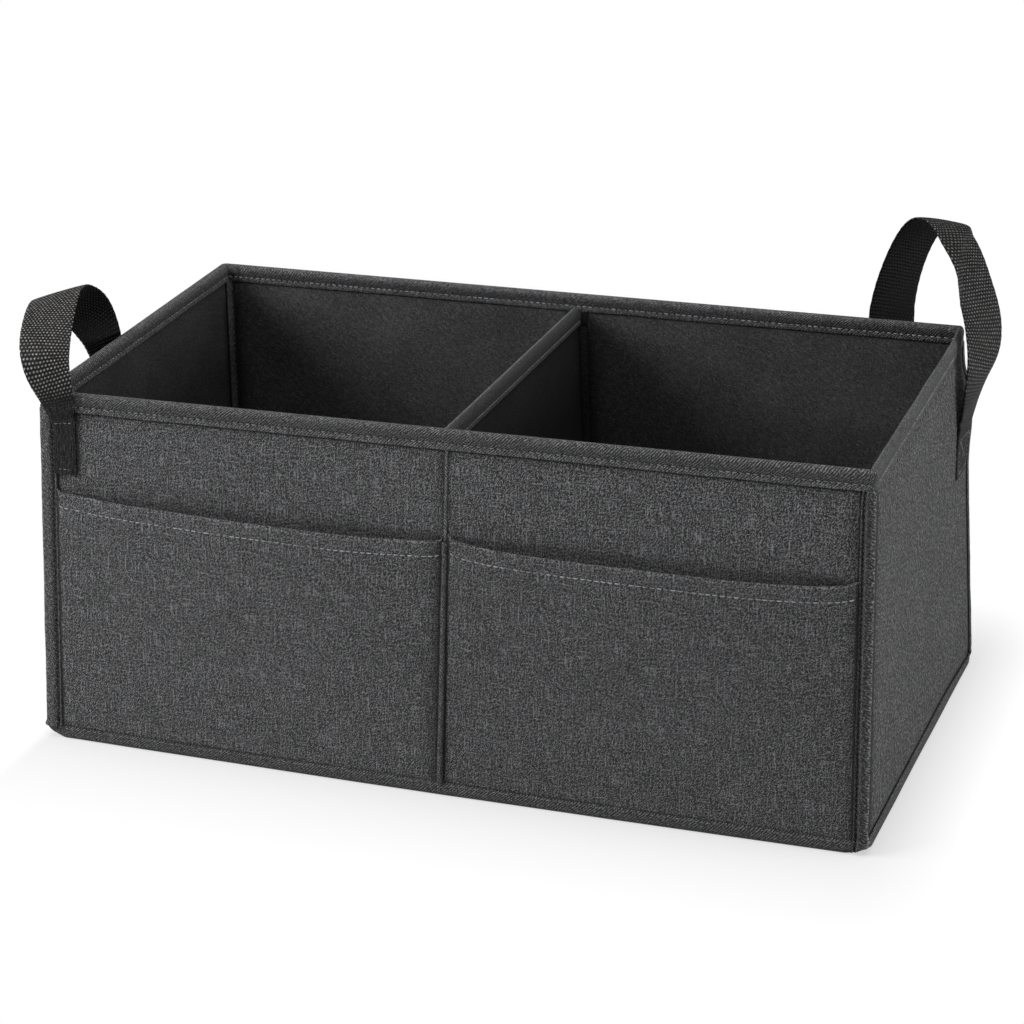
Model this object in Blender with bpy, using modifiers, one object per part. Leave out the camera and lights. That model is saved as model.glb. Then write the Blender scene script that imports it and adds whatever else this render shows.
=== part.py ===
"""Car boot organizer: a stiffened cloth box with a sewn divider, two front pockets and two corner handles.

Metres, +X right, +Y back, +Z up. The origin is the centre of the underside.
"""

import math

import bmesh
import bpy
import numpy as np
from mathutils import Matrix, Vector

# Overall sizes, over the edge bindings and without pockets and handles
LENGTH = 0.500
DEPTH = 0.290
HEIGHT = 0.222

# Layers of a wall, from outside to inside
CLOTH = 0.0008
BOARD = 0.0022
BOARD_EASE = 0.0004
LINING = 0.0006
CLEARANCE = 0.0003

# Binding tapes over the raw edges
TAPE = 0.0010
RIM_TAPE_OUTSIDE = 0.0120
RIM_TAPE_INSIDE = 0.0115
TAPE_CREST = 0.0018
BASE_TAPE_HEIGHT = 0.0080
CORNER_TAPE_WIDTH = 0.0085
EDGE_RADIUS = 0.0060
INNER_TAPE_WIDTH = 0.0050
INNER_EDGE_RADIUS = 0.0020
SEAM_TAPE_WIDTH = 0.0050
DIVIDER_TAPE_HEIGHT = 0.0110
DIVIDER_FLANGE = 0.0055

# Front pockets
POCKET_TOP = 0.158
POCKET_HEM = 0.0100
POCKET_BULGE = 0.0075
POCKET_SAG = 0.0055
POCKET_EDGE_POWER = 3.5
POCKET_SWELL_POWER = 1.3

# Handle webbing
WEBBING_WIDTH = 0.030
WEBBING = 0.0014
FOLDED_WIDTH = 0.014
SEWN_THICKNESS = 2 * WEBBING

# Route of each loop round its corner, as rows of: distance from the corner along the
# long wall, distance from it along the end wall, height over the rim, then the turn and
# the tilt of the webbing's width in degrees. A negative distance lies outside the box.
FRONT_LEFT_LOOP = (
    (0.008, -0.015, 0.022, 42, 9),
    (-0.002, 0.019, 0.038, 38, 6),
    (-0.013, 0.054, 0.044, 40, 12),
    (-0.018, 0.086, 0.032, 40, 8),
    (-0.013, 0.115, 0.006, 58, 12),
)
BACK_RIGHT_LOOP = (
    (0.050, -0.020, -0.006, 30, 13),
    (0.045, -0.028, 0.027, 45, 15),
    (0.030, -0.027, 0.062, 48, 16),
    (0.007, -0.008, 0.059, 48, 12),
    (-0.008, 0.012, 0.031, 45, 6),
    (-0.019, 0.021, 0.000, 46, 8),
    (-0.011, 0.027, -0.029, 75, 6),
)

# Where each loop is sewn down, as (distance from the corner, top below the rim, length)
FRONT_LEFT_FRONT_SEAM = (0.0158, 0.020, 0.036)
FRONT_LEFT_END_SEAM = (0.1050, 0.026, 0.036)
BACK_RIGHT_BACK_SEAM = (0.0457, 0.046, 0.042)
BACK_RIGHT_END_SEAM = (0.0270, 0.058, 0.042)

# Fineness of curved surfaces
ARC_STEPS = 4
POCKET_COLUMNS = 20
POCKET_ROWS = 7
STEPS_PER_LOOP_ROW = 5
SHARP_ANGLE = math.radians(35)
MERGE_DISTANCE = 1e-6

# Derived planes: outer face of the walls, then each layer inwards
WALL_X = LENGTH / 2 - TAPE - CLEARANCE
WALL_Y = DEPTH / 2 - TAPE - CLEARANCE
BOARD_INSET = CLOTH + CLEARANCE
LINING_INSET = BOARD_INSET + BOARD + CLEARANCE
WALL_THICKNESS = LINING_INSET + LINING
INNER_X = WALL_X - WALL_THICKNESS
INNER_Y = WALL_Y - WALL_THICKNESS
WALL_TOP = HEIGHT - TAPE / 2 - TAPE_CREST
FLOOR_TOP = WALL_THICKNESS
RIM_TAPE_LOW_OUTSIDE = HEIGHT - RIM_TAPE_OUTSIDE
RIM_TAPE_LOW_INSIDE = HEIGHT - RIM_TAPE_INSIDE
DIVIDER_HALF = BOARD / 2 + CLEARANCE + LINING
DIVIDER_TOP = RIM_TAPE_LOW_INSIDE - CLEARANCE

CHARCOAL = (0.070, 0.071, 0.074, 1)
CHARCOAL_TAPE = (0.055, 0.056, 0.059, 1)
BLACK_LINING = (0.016, 0.017, 0.018, 1)
BLACK_WEBBING = (0.020, 0.019, 0.018, 1)
GREY_BOARD = (0.180, 0.175, 0.165, 1)


def clear_scene():
    for obj in list(bpy.data.objects):
        bpy.data.objects.remove(obj, do_unlink=True)


def material(name, colour, roughness):
    made = bpy.data.materials.new(name)
    made.use_nodes = True
    shader = made.node_tree.nodes["Principled BSDF"]
    shader.inputs["Base Color"].default_value = colour
    shader.inputs["Roughness"].default_value = roughness
    shader.inputs["Metallic"].default_value = 0.0
    made.diffuse_color = colour
    return made


def add_object(name, shape, colour, roughness=0.9):
    """A new object from a bmesh, in the part's collection, with a material of its own."""
    mesh = bpy.data.meshes.new(name)
    bmesh.ops.recalc_face_normals(shape, faces=shape.faces)
    shape.to_mesh(mesh)
    shape.free()
    obj = bpy.data.objects.new(name, mesh)
    mesh.materials.append(material(name, colour, roughness))
    PARTS.objects.link(obj)
    return obj


def smooth(obj):
    obj.data.shade_smooth()
    obj.data.set_sharp_from_angle(angle=SHARP_ANGLE)


def solidify(obj, thickness):
    """Gives an open sheet its thickness, centred on the sheet."""
    modifier = obj.modifiers.new("thickness", "SOLIDIFY")
    modifier.thickness = thickness
    modifier.offset = 0.0
    modifier.use_even_offset = True


def slab(name, low, high, colour, softness=0.0):
    """A flat layer between two corners, with its edges eased where it has a softness."""
    shape = bmesh.new()
    bmesh.ops.create_cube(shape, size=1.0)
    size = Vector(high) - Vector(low)
    middle = (Vector(high) + Vector(low)) / 2
    bmesh.ops.scale(shape, vec=size, verts=shape.verts)
    bmesh.ops.translate(shape, vec=middle, verts=shape.verts)
    obj = add_object(name, shape, colour)
    if softness:
        modifier = obj.modifiers.new("eased_edges", "BEVEL")
        modifier.width = softness
        modifier.segments = 2
        modifier.limit_method = "ANGLE"
    return obj


def moved_edges(shape, edges, step):
    """Pulls a chain of edges along a straight step and returns the new chain."""
    result = bmesh.ops.extrude_edge_only(shape, edges=edges)["geom"]
    points = [item for item in result if isinstance(item, bmesh.types.BMVert)]
    bmesh.ops.translate(shape, vec=step, verts=points)
    return [item for item in result if isinstance(item, bmesh.types.BMEdge)]


def turned_edges(shape, edges, centre, angle):
    """Spins a chain of edges about an upright axis and returns the new chain."""
    ends = {vert for edge in edges for vert in edge.verts}
    result = bmesh.ops.spin(
        shape,
        geom=list(ends) + list(edges),
        cent=centre,
        axis=(0, 0, 1),
        angle=angle,
        steps=ARC_STEPS,
    )["geom_last"]
    return [item for item in result if isinstance(item, bmesh.types.BMEdge)]


def chain(shape, points):
    """A chain of edges through the points."""
    verts = [shape.verts.new(point) for point in points]
    return [shape.edges.new(pair) for pair in zip(verts, verts[1:])]


def ring_sheet(profile, half_x, half_y, radius):
    """Sweeps a profile of (outward offset, height) round a rectangle with rounded corners."""
    shape = bmesh.new()
    start = [(half_x + out, -(half_y - radius), z) for out, z in profile]
    edges = chain(shape, start)
    for quarter in range(4):
        turn = Matrix.Rotation(math.radians(90 * quarter), 3, "Z")
        along = 2 * ((half_y if quarter % 2 == 0 else half_x) - radius)
        centre_x = half_x - radius if quarter in (0, 3) else -(half_x - radius)
        centre_y = half_y - radius if quarter in (0, 1) else -(half_y - radius)
        edges = moved_edges(shape, edges, turn @ Vector((0, along, 0)))
        edges = turned_edges(shape, edges, (centre_x, centre_y, 0), math.radians(90))
    bmesh.ops.remove_doubles(shape, verts=shape.verts, dist=MERGE_DISTANCE)
    return shape


def corner_sheet(face_x, face_y, radius, leg, low, high, sign_x, sign_y):
    """An upright sheet round one corner: a leg along each wall and a rounded fold between."""
    shape = bmesh.new()
    start_y = face_y - leg
    edges = chain(shape, [(face_x, start_y, low), (face_x, start_y, high)])
    edges = moved_edges(shape, edges, Vector((0, leg - radius, 0)))
    edges = turned_edges(shape, edges, (face_x - radius, face_y - radius, 0), math.radians(90))
    moved_edges(shape, edges, Vector((-(leg - radius), 0, 0)))
    bmesh.ops.scale(shape, vec=(sign_x, sign_y, 1), verts=shape.verts)
    return shape


def folded_over(height_out, height_in, half_width, top):
    """Profile of a tape folded over an edge: up outside, over a round crest, down inside."""
    crest = top - TAPE_CREST
    points = [(half_width, height_out)]
    for step in range(2 * ARC_STEPS + 1):
        angle = math.pi * step / (2 * ARC_STEPS)
        points.append((half_width * math.cos(angle), crest + TAPE_CREST * math.sin(angle)))
    points.append((-half_width, height_in))
    return points


def wall_layers(name, low, high, inward):
    """The outer cloth, the board and the lining of one wall between two outer corners.

    Cloth and board stop where the rounded upright edge begins. The linings meet in the inner corner.
    """
    low, high, inward = Vector(low), Vector(high), Vector(inward)
    along = Vector((abs(inward.y), abs(inward.x), 0))
    lining_end = LINING_INSET if inward.y else WALL_THICKNESS + CLEARANCE
    board_foot = BOARD_INSET + BOARD + CLEARANCE
    layers = (
        ("outer_panel", 0.0, CLOTH, EDGE_RADIUS, BOARD_INSET, CHARCOAL, 0.0),
        ("board", BOARD_INSET, BOARD, EDGE_RADIUS, board_foot, GREY_BOARD, BOARD_EASE),
        ("lining", LINING_INSET, LINING, lining_end, FLOOR_TOP + CLEARANCE, BLACK_LINING, 0.0),
    )
    for layer, inset, thickness, end, foot, colour, softness in layers:
        first = low + inward * inset + along * end
        second = high + inward * (inset + thickness) - along * end
        first.z = foot
        corner_low = [min(pair) for pair in zip(first, second)]
        corner_high = [max(pair) for pair in zip(first, second)]
        slab(f"{name}_{layer}", corner_low, corner_high, colour, softness)


def build_walls():
    wall_layers("front", (-WALL_X, -WALL_Y, 0), (WALL_X, -WALL_Y, WALL_TOP), (0, 1, 0))
    wall_layers("back", (-WALL_X, WALL_Y, 0), (WALL_X, WALL_Y, WALL_TOP), (0, -1, 0))
    wall_layers("left", (-WALL_X, -WALL_Y, 0), (-WALL_X, WALL_Y, WALL_TOP), (1, 0, 0))
    wall_layers("right", (WALL_X, -WALL_Y, 0), (WALL_X, WALL_Y, WALL_TOP), (-1, 0, 0))


def build_base():
    layers = (
        ("base_outer_panel", 0.0, CLOTH, CHARCOAL),
        ("base_board", BOARD_INSET, BOARD, GREY_BOARD),
        ("base_lining", LINING_INSET, LINING, BLACK_LINING),
    )
    for name, low, thickness, colour in layers:
        half_x, half_y = WALL_X - low, WALL_Y - low
        shape = bmesh.new()
        bmesh.ops.create_cube(shape, size=1.0)
        bmesh.ops.scale(shape, vec=(2 * half_x, 2 * half_y, thickness), verts=shape.verts)
        bmesh.ops.translate(shape, vec=(0, 0, low + thickness / 2), verts=shape.verts)
        upright = [edge for edge in shape.edges if abs(edge.verts[0].co.z - edge.verts[1].co.z) > 0]
        bmesh.ops.bevel(
            shape,
            geom=upright,
            offset=EDGE_RADIUS - low,
            segments=ARC_STEPS,
            profile=0.5,
            affect="EDGES",
        )
        add_object(name, shape, colour)


def build_rim_binding():
    """One tape folded over the top of all four walls."""
    half_width = WALL_THICKNESS / 2 + CLEARANCE + TAPE / 2
    profile = folded_over(
        RIM_TAPE_LOW_OUTSIDE, RIM_TAPE_LOW_INSIDE, half_width, HEIGHT - TAPE / 2
    )
    middle = WALL_THICKNESS / 2
    shape = ring_sheet(profile, WALL_X - middle, WALL_Y - middle, EDGE_RADIUS - middle)
    obj = add_object("rim_binding", shape, CHARCOAL_TAPE)
    solidify(obj, TAPE)
    smooth(obj)


def build_base_binding():
    """One tape round the foot of the walls."""
    profile = [(0.0, 0.0), (0.0, BASE_TAPE_HEIGHT)]
    offset = CLEARANCE + TAPE / 2
    shape = ring_sheet(profile, WALL_X + offset, WALL_Y + offset, EDGE_RADIUS + offset)
    obj = add_object("base_binding", shape, CHARCOAL_TAPE)
    solidify(obj, TAPE)
    smooth(obj)


def build_corner_bindings():
    """Tapes up the four outer corners, and narrower ones up the inner corners."""
    offset = CLEARANCE + TAPE / 2
    low = BASE_TAPE_HEIGHT + CLEARANCE
    high = RIM_TAPE_LOW_OUTSIDE - CLEARANCE
    inner_offset = CLEARANCE + LINING / 2
    inner_low = FLOOR_TOP + CLEARANCE
    inner_high = RIM_TAPE_LOW_INSIDE - CLEARANCE
    corners = (
        ("front_left", -1, -1),
        ("front_right", 1, -1),
        ("back_right", 1, 1),
        ("back_left", -1, 1),
    )
    for name, sign_x, sign_y in corners:
        shape = corner_sheet(
            WALL_X + offset,
            WALL_Y + offset,
            EDGE_RADIUS + offset,
            CORNER_TAPE_WIDTH,
            low,
            high,
            sign_x,
            sign_y,
        )
        obj = add_object(f"{name}_corner_binding", shape, CHARCOAL_TAPE)
        solidify(obj, TAPE)
        smooth(obj)
        shape = corner_sheet(
            INNER_X - inner_offset,
            INNER_Y - inner_offset,
            INNER_EDGE_RADIUS,
            INNER_TAPE_WIDTH,
            inner_low,
            inner_high,
            sign_x,
            sign_y,
        )
        obj = add_object(f"{name}_inner_tape", shape, BLACK_LINING)
        solidify(obj, LINING)
        smooth(obj)


def build_front_seam_binding():
    """The raised tape down the middle of the front, between the pockets."""
    half = SEAM_TAPE_WIDTH / 2
    low = BASE_TAPE_HEIGHT + CLEARANCE
    high = RIM_TAPE_LOW_OUTSIDE - CLEARANCE
    face = -(WALL_Y + CLEARANCE)
    slab(
        "front_seam_binding",
        (-half, face - 2 * TAPE, low),
        (half, face, high),
        CHARCOAL_TAPE,
        softness=0.0007,
    )


def build_divider():
    """A covered board across the middle. Each cover turns out into a flange on both long walls."""
    end = INNER_Y - CLEARANCE
    low = FLOOR_TOP + CLEARANCE
    cover_top = DIVIDER_TOP - TAPE / 2 - TAPE_CREST
    sheet_x = DIVIDER_HALF - LINING / 2
    sheet_y = end - LINING / 2
    radius = INNER_EDGE_RADIUS
    slab(
        "divider_board",
        (-BOARD / 2, -end + LINING, low),
        (BOARD / 2, end - LINING, cover_top),
        GREY_BOARD,
        softness=BOARD_EASE,
    )
    for name, sign in (("left", -1), ("right", 1)):
        shape = bmesh.new()
        start_x = sheet_x + DIVIDER_FLANGE
        edges = chain(shape, [(start_x, sheet_y, low), (start_x, sheet_y, cover_top)])
        edges = moved_edges(shape, edges, Vector((-(DIVIDER_FLANGE - radius), 0, 0)))
        edges = turned_edges(shape, edges, (sheet_x + radius, sheet_y - radius, 0), math.radians(90))
        edges = moved_edges(shape, edges, Vector((0, -2 * (sheet_y - radius), 0)))
        edges = turned_edges(shape, edges, (sheet_x + radius, radius - sheet_y, 0), math.radians(90))
        moved_edges(shape, edges, Vector((DIVIDER_FLANGE - radius, 0, 0)))
        bmesh.ops.scale(shape, vec=(sign, 1, 1), verts=shape.verts)
        obj = add_object(f"divider_{name}_cover", shape, BLACK_LINING)
        solidify(obj, LINING)
        smooth(obj)

    half_width = DIVIDER_HALF + CLEARANCE + TAPE / 2
    tape_low = DIVIDER_TOP - DIVIDER_TAPE_HEIGHT
    shape = bmesh.new()
    profile = folded_over(tape_low, tape_low, half_width, DIVIDER_TOP - TAPE / 2)
    tape_end = sheet_y - radius
    edges = chain(shape, [(x, -tape_end, z) for x, z in profile])
    moved_edges(shape, edges, Vector((0, 2 * tape_end, 0)))
    obj = add_object("divider_top_binding", shape, CHARCOAL_TAPE)
    solidify(obj, TAPE)
    smooth(obj)


def pocket_bow(across):
    """How far the pocket's mouth has dropped and opened, from 0 at its seams to 1."""
    return 1.0 - abs(2.0 * across - 1.0) ** POCKET_EDGE_POWER


def pocket_point(across, up, depth_offset, x_low, x_high, z_low):
    """A point of the pocket's cloth, standing off the front by its bulge."""
    bow = pocket_bow(across)
    top = POCKET_TOP - POCKET_SAG * bow
    hem_room = CLOTH + CLEARANCE
    rise = min(1.0, max(0.0, up))
    ease = rise * rise * (3 - 2 * rise)
    out = CLEARANCE + CLOTH / 2 + hem_room * ease + POCKET_BULGE * bow * rise**POCKET_SWELL_POWER
    x = x_low + (x_high - x_low) * across
    z = z_low + (top - z_low) * up
    return (x, -(WALL_Y + out - depth_offset), z)


def build_pocket(name, x_low, x_high):
    """A flat cloth pocket with a turned hem, sewn at its sides and foot and slack at its mouth."""
    z_low = BASE_TAPE_HEIGHT + CLEARANCE
    height = POCKET_TOP - z_low
    hem_gap = CLOTH + CLEARANCE
    fold = hem_gap / 2
    rows = [(row / POCKET_ROWS * (1 - fold / height), 0.0) for row in range(POCKET_ROWS + 1)]
    for step in range(1, ARC_STEPS + 1):
        angle = math.pi * step / ARC_STEPS
        rows.append((1 - fold / height * (1 - math.sin(angle)), fold * (1 - math.cos(angle))))
    rows.append((1 - POCKET_HEM / height, hem_gap))
    shape = bmesh.new()
    bmesh.ops.create_grid(shape, x_segments=POCKET_COLUMNS, y_segments=len(rows) - 1, size=0.5)
    for vert in shape.verts:
        across = vert.co.x + 0.5
        up, depth_offset = rows[round((vert.co.y + 0.5) * (len(rows) - 1))]
        vert.co = pocket_point(across, up, depth_offset, x_low, x_high, z_low)
    obj = add_object(name, shape, CHARCOAL)
    solidify(obj, CLOTH)
    smooth(obj)


def build_pockets():
    side = WALL_X + CLEARANCE + TAPE / 2 - CORNER_TAPE_WIDTH - CLEARANCE
    middle = SEAM_TAPE_WIDTH / 2 + CLEARANCE
    build_pocket("left_front_pocket", -side, -middle)
    build_pocket("right_front_pocket", middle, side)


def smooth_curve(rows, steps):
    """Rows of numbers along a uniform cubic B-spline that starts and ends on the given rows."""
    rows = np.array(rows, dtype=float)
    rows = np.vstack([2 * rows[0] - rows[1], rows, 2 * rows[-1] - rows[-2]])
    spans = len(rows) - 3
    found = []
    for count in range(spans * steps + 1):
        place = count / steps
        first = min(int(place), spans - 1)
        t = place - first
        weights = np.array([(1 - t) ** 3, 3 * t**3 - 6 * t**2 + 4, -3 * t**3 + 3 * t**2 + 3 * t + 1, t**3])
        found.append(weights @ rows[first : first + 4] / 6)
    return found


def sewn_rows(seam, turn, width, upward):
    """Rows of a loop's sewn end, flat on its wall: along, along, height, turn, tilt, width, thickness."""
    distance, below, length = seam
    out = -(CLEARANCE + SEWN_THICKNESS / 2)
    heights = [-below - length, -below - length / 2, -below]
    if not upward:
        heights.reverse()
    place = (distance, out) if turn == 0 else (out, distance)
    return [(*place, height, turn, 0, width, SEWN_THICKNESS) for height in heights]


def width_direction(turn, tilt):
    """Which way the webbing's width runs, from its turn and tilt in degrees."""
    turn, tilt = math.radians(turn), math.radians(tilt)
    return Vector((math.cos(turn) * math.cos(tilt), math.sin(turn) * math.cos(tilt), math.sin(tilt)))


def strip_outline(half_width, half_thick):
    """Eight points round a flat strip with eased edges, as (along its width, along its face normal)."""
    flat = half_width - half_thick
    low = half_thick / 2
    right = [(half_width, -low), (half_width, low), (flat, half_thick)]
    left = [(-flat, half_thick), (-half_width, low), (-half_width, -low)]
    return right + left + [(-flat, -half_thick), (flat, -half_thick)]


def build_handle(name, loop, long_seam, end_seam, long_width, corner_x, corner_y):
    """Webbing from a long wall, up over the corner and down onto the end wall."""
    free = [(*row, WEBBING_WIDTH, WEBBING) for row in loop]
    rows = sewn_rows(long_seam, 0, long_width, upward=True) + free
    rows += sewn_rows(end_seam, 90, WEBBING_WIDTH, upward=False)
    rows = smooth_curve(rows, STEPS_PER_LOOP_ROW)
    shape = bmesh.new()
    sections = []
    for index, row in enumerate(rows):
        centre = Vector(row[:3])
        before = Vector(rows[max(index - 1, 0)][:3])
        after = Vector(rows[min(index + 1, len(rows) - 1)][:3])
        along = (after - before).normalized()
        across = width_direction(row[3], row[4])
        across = (across - along * across.dot(along)).normalized()
        face = along.cross(across)
        section = []
        for wide, deep in strip_outline(row[5] / 2, row[6] / 2):
            point = centre + across * wide + face * deep
            place = (corner_x * (WALL_X - point.x), corner_y * (WALL_Y - point.y), HEIGHT + point.z)
            section.append(shape.verts.new(place))
        sections.append(section)
    for first, second in zip(sections, sections[1:]):
        for side in range(len(first)):
            other = (side + 1) % len(first)
            shape.faces.new((first[side], first[other], second[other], second[side]))
    shape.faces.new(sections[0])
    shape.faces.new(sections[-1])
    obj = add_object(name, shape, BLACK_WEBBING)
    smooth(obj)


def build_handles():
    build_handle(
        "left_handle",
        FRONT_LEFT_LOOP,
        FRONT_LEFT_FRONT_SEAM,
        FRONT_LEFT_END_SEAM,
        FOLDED_WIDTH,
        -1,
        -1,
    )
    build_handle(
        "right_handle",
        BACK_RIGHT_LOOP,
        BACK_RIGHT_BACK_SEAM,
        BACK_RIGHT_END_SEAM,
        WEBBING_WIDTH,
        1,
        1,
    )


def main():
    build_walls()
    build_base()
    build_rim_binding()
    build_base_binding()
    build_corner_bindings()
    build_front_seam_binding()
    build_divider()
    build_pockets()
    build_handles()


clear_scene()
PARTS = bpy.data.collections.new("car_boot_organizer")
bpy.context.scene.collection.children.link(PARTS)
main()
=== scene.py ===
"""The looks of the car boot organizer: cloth, tapes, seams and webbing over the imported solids.

Metres, +X right, +Y back, +Z up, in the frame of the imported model.
"""

import math

import bpy
import numpy as np
from mathutils import Matrix, Vector


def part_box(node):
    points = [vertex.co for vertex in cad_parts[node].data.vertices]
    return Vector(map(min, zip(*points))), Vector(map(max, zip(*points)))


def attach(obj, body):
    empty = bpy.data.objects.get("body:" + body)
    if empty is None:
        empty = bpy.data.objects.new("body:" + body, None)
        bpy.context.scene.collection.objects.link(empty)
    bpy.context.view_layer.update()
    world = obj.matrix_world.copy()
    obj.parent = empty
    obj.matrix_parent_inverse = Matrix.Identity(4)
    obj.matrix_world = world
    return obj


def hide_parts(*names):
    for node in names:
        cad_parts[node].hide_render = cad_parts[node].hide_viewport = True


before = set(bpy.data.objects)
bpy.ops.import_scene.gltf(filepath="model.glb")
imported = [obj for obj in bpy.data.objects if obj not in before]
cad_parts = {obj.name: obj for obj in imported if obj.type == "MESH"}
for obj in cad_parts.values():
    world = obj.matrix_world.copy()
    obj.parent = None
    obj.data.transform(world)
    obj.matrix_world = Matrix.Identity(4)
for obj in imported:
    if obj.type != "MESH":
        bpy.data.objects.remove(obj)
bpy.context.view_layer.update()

# Sizes, as in the part's source
LENGTH = 0.500
DEPTH = 0.290
HEIGHT = 0.222
CLOTH = 0.0008
BOARD = 0.0022
LINING = 0.0006
CLEARANCE = 0.0003
TAPE = 0.0010
RIM_TAPE_OUTSIDE = 0.0120
RIM_TAPE_INSIDE = 0.0115
BASE_TAPE_HEIGHT = 0.0080
CORNER_TAPE_WIDTH = 0.0085
INNER_TAPE_WIDTH = 0.0050
DIVIDER_TAPE_HEIGHT = 0.0110
DIVIDER_FLANGE = 0.0055
POCKET_TOP = 0.158
POCKET_HEM = 0.0100
POCKET_EDGE_POWER = 3.5
POCKET_SWELL_POWER = 1.3
WEBBING_WIDTH = 0.030
WEBBING = 0.0014
FOLDED_WIDTH = 0.014
SEWN_THICKNESS = 2 * WEBBING
END_SEAM_THICKNESS = 0.0021
# How far below a folded tape's crest the cloth inside it stops
UNDER_CREST = 0.0023

# Points of each handle's loop from its corner: along the long wall, along the end wall, up, turn and tilt
FRONT_LEFT_LOOP = (
    (0.008, -0.015, 0.022, 42, 9),
    (-0.002, 0.019, 0.038, 38, 6),
    (-0.013, 0.054, 0.044, 40, 12),
    (-0.018, 0.086, 0.032, 40, 8),
    (-0.013, 0.115, 0.006, 58, 12),
)
BACK_RIGHT_LOOP = (
    (0.0515, -0.020, -0.006, 30, 13),
    (0.0465, -0.028, 0.027, 45, 15),
    (0.0314, -0.027, 0.062, 48, 16),
    (0.0082, -0.008, 0.059, 48, 12),
    (-0.0070, 0.012, 0.031, 45, 6),
    (-0.0198, 0.021, 0.000, 44, 8),
    (-0.0115, 0.031, -0.029, 82, 6),
)
# Sewn ends of the handles: distance from the corner, drop below the rim and length
FRONT_LEFT_FRONT_SEAM = (0.0158, 0.0150, 0.0355)
FRONT_LEFT_END_SEAM = (0.1050, 0.026, 0.036)
BACK_RIGHT_BACK_SEAM = (0.0457, 0.046, 0.042)
BACK_RIGHT_END_SEAM = (0.0312, 0.058, 0.0285)

WALL_X = LENGTH / 2 - TAPE - CLEARANCE
WALL_Y = DEPTH / 2 - TAPE - CLEARANCE
BOARD_INSET = CLOTH + CLEARANCE
LINING_INSET = BOARD_INSET + BOARD + CLEARANCE
WALL_THICKNESS = LINING_INSET + LINING
INNER_X = WALL_X - WALL_THICKNESS
INNER_Y = WALL_Y - WALL_THICKNESS
FLOOR_TOP = WALL_THICKNESS
RIM_LOW_OUTSIDE = HEIGHT - RIM_TAPE_OUTSIDE
RIM_LOW_INSIDE = HEIGHT - RIM_TAPE_INSIDE
WALL_TOP = HEIGHT - UNDER_CREST
DIVIDER_HALF = BOARD / 2 + CLEARANCE + LINING
DIVIDER_TOP = RIM_LOW_INSIDE - CLEARANCE

# How far each corner of the soft box stands from square, keyed by its side in X, its side in Y and top
LEAN = {
    (-1, -1, 0): (-0.0033, 0.0010, 0.0),
    (1, -1, 0): (0.0030, -0.0046, 0.0),
    (1, 1, 0): (0.0088, 0.0035, 0.0),
    (-1, 1, 0): (0.0, 0.0, 0.0),
    (-1, -1, 1): (0.0037, 0.0018, -0.0012),
    (1, -1, 1): (-0.0020, 0.0010, 0.0040),
    (1, 1, 1): (-0.0055, -0.0011, 0.0016),
    (-1, 1, 1): (-0.0023, -0.0022, -0.0017),
}
# How far the foot of the front wall bows out between its corners
FRONT_FOOT_BOW = 0.0022
# The softened bottom corners: how far they reach along and up, and the pull sideways and up
CORNER_REACH = 0.013
CORNER_RISE = 0.0095
CORNER_PULL = 0.0058
CORNER_LIFT = 0.0014
# The back right corner is pushed out where the handle is sewn on, round a height, and drawn in above it
HANDLE_PUSH = 0.0030
HANDLE_PUSH_HEIGHT = (0.166, 0.022)
CORNER_DRAW = 0.0014
CORNER_DRAW_HEIGHT = (0.184, 0.198)
# How much thinner the right wall's rim is at the top, at its front and at its back, and its full width
PINCH = (0.0018, 0.0034)
PINCH_WIDTH = 0.0068
# The upright corners are folded more tightly than the solids
CORNER_RADIUS = 0.0026

# Stitches of each seam: pitch, length, width of the thread, and how far it bows out
RIM_STITCH = (0.0039, 0.0029, 0.00078, 0.00030)
BASE_STITCH = (0.0036, 0.0024, 0.00050, 0.00020)
CORNER_STITCH = (0.0034, 0.0024, 0.00045, 0.00020)
INNER_STITCH = (0.0038, 0.0019, 0.00036, 0.00015)
SEAM_STITCH = (0.0033, 0.0022, 0.00036, 0.00015)
POCKET_STITCH = (0.0040, 0.0033, 0.00070, 0.00032)
DIVIDER_STITCH = (0.0038, 0.0028, 0.00065, 0.00030)
HANDLE_STITCH = (0.0028, 0.0021, 0.00070, 0.00030)
# How far the thread's line stands off the cloth of a pocket or a handle
THREAD_RISE = 0.00012


def smoothstep(value, low, high):
    t = np.clip((np.asarray(value, float) - low) / (high - low), 0.0, 1.0)
    return t * t * (3 - 2 * t)


def bump_at(value, centre, width):
    """A smooth hill of height 1 round a centre."""
    return np.exp(-(((np.asarray(value, float) - centre) / width) ** 2))


def swell(value, reach):
    """Rises from 0 to 1 over a reach, and is level at its end."""
    return np.sin(np.clip(value / reach, 0, 1) * math.pi / 2)


def arch(value, reach):
    """Rises from 0 to 1 and falls back to 0 over a reach."""
    return np.sin(np.clip(value / reach, 0, 1) * math.pi)


def darkest(*painted_shades):
    """The strongest painted shade at each point."""
    result = painted_shades[0]
    for painted_shade in painted_shades[1:]:
        result = np.maximum(result, painted_shade)
    return result


def distances(points):
    """How far along a line each of its points is."""
    return np.concatenate([[0], np.cumsum(np.linalg.norm(np.diff(points, axis=0), axis=1))])


def read_along(where, place, values):
    """Rows of values read at places along a line."""
    return np.stack([np.interp(where, place, column) for column in values.T], -1)


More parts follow.
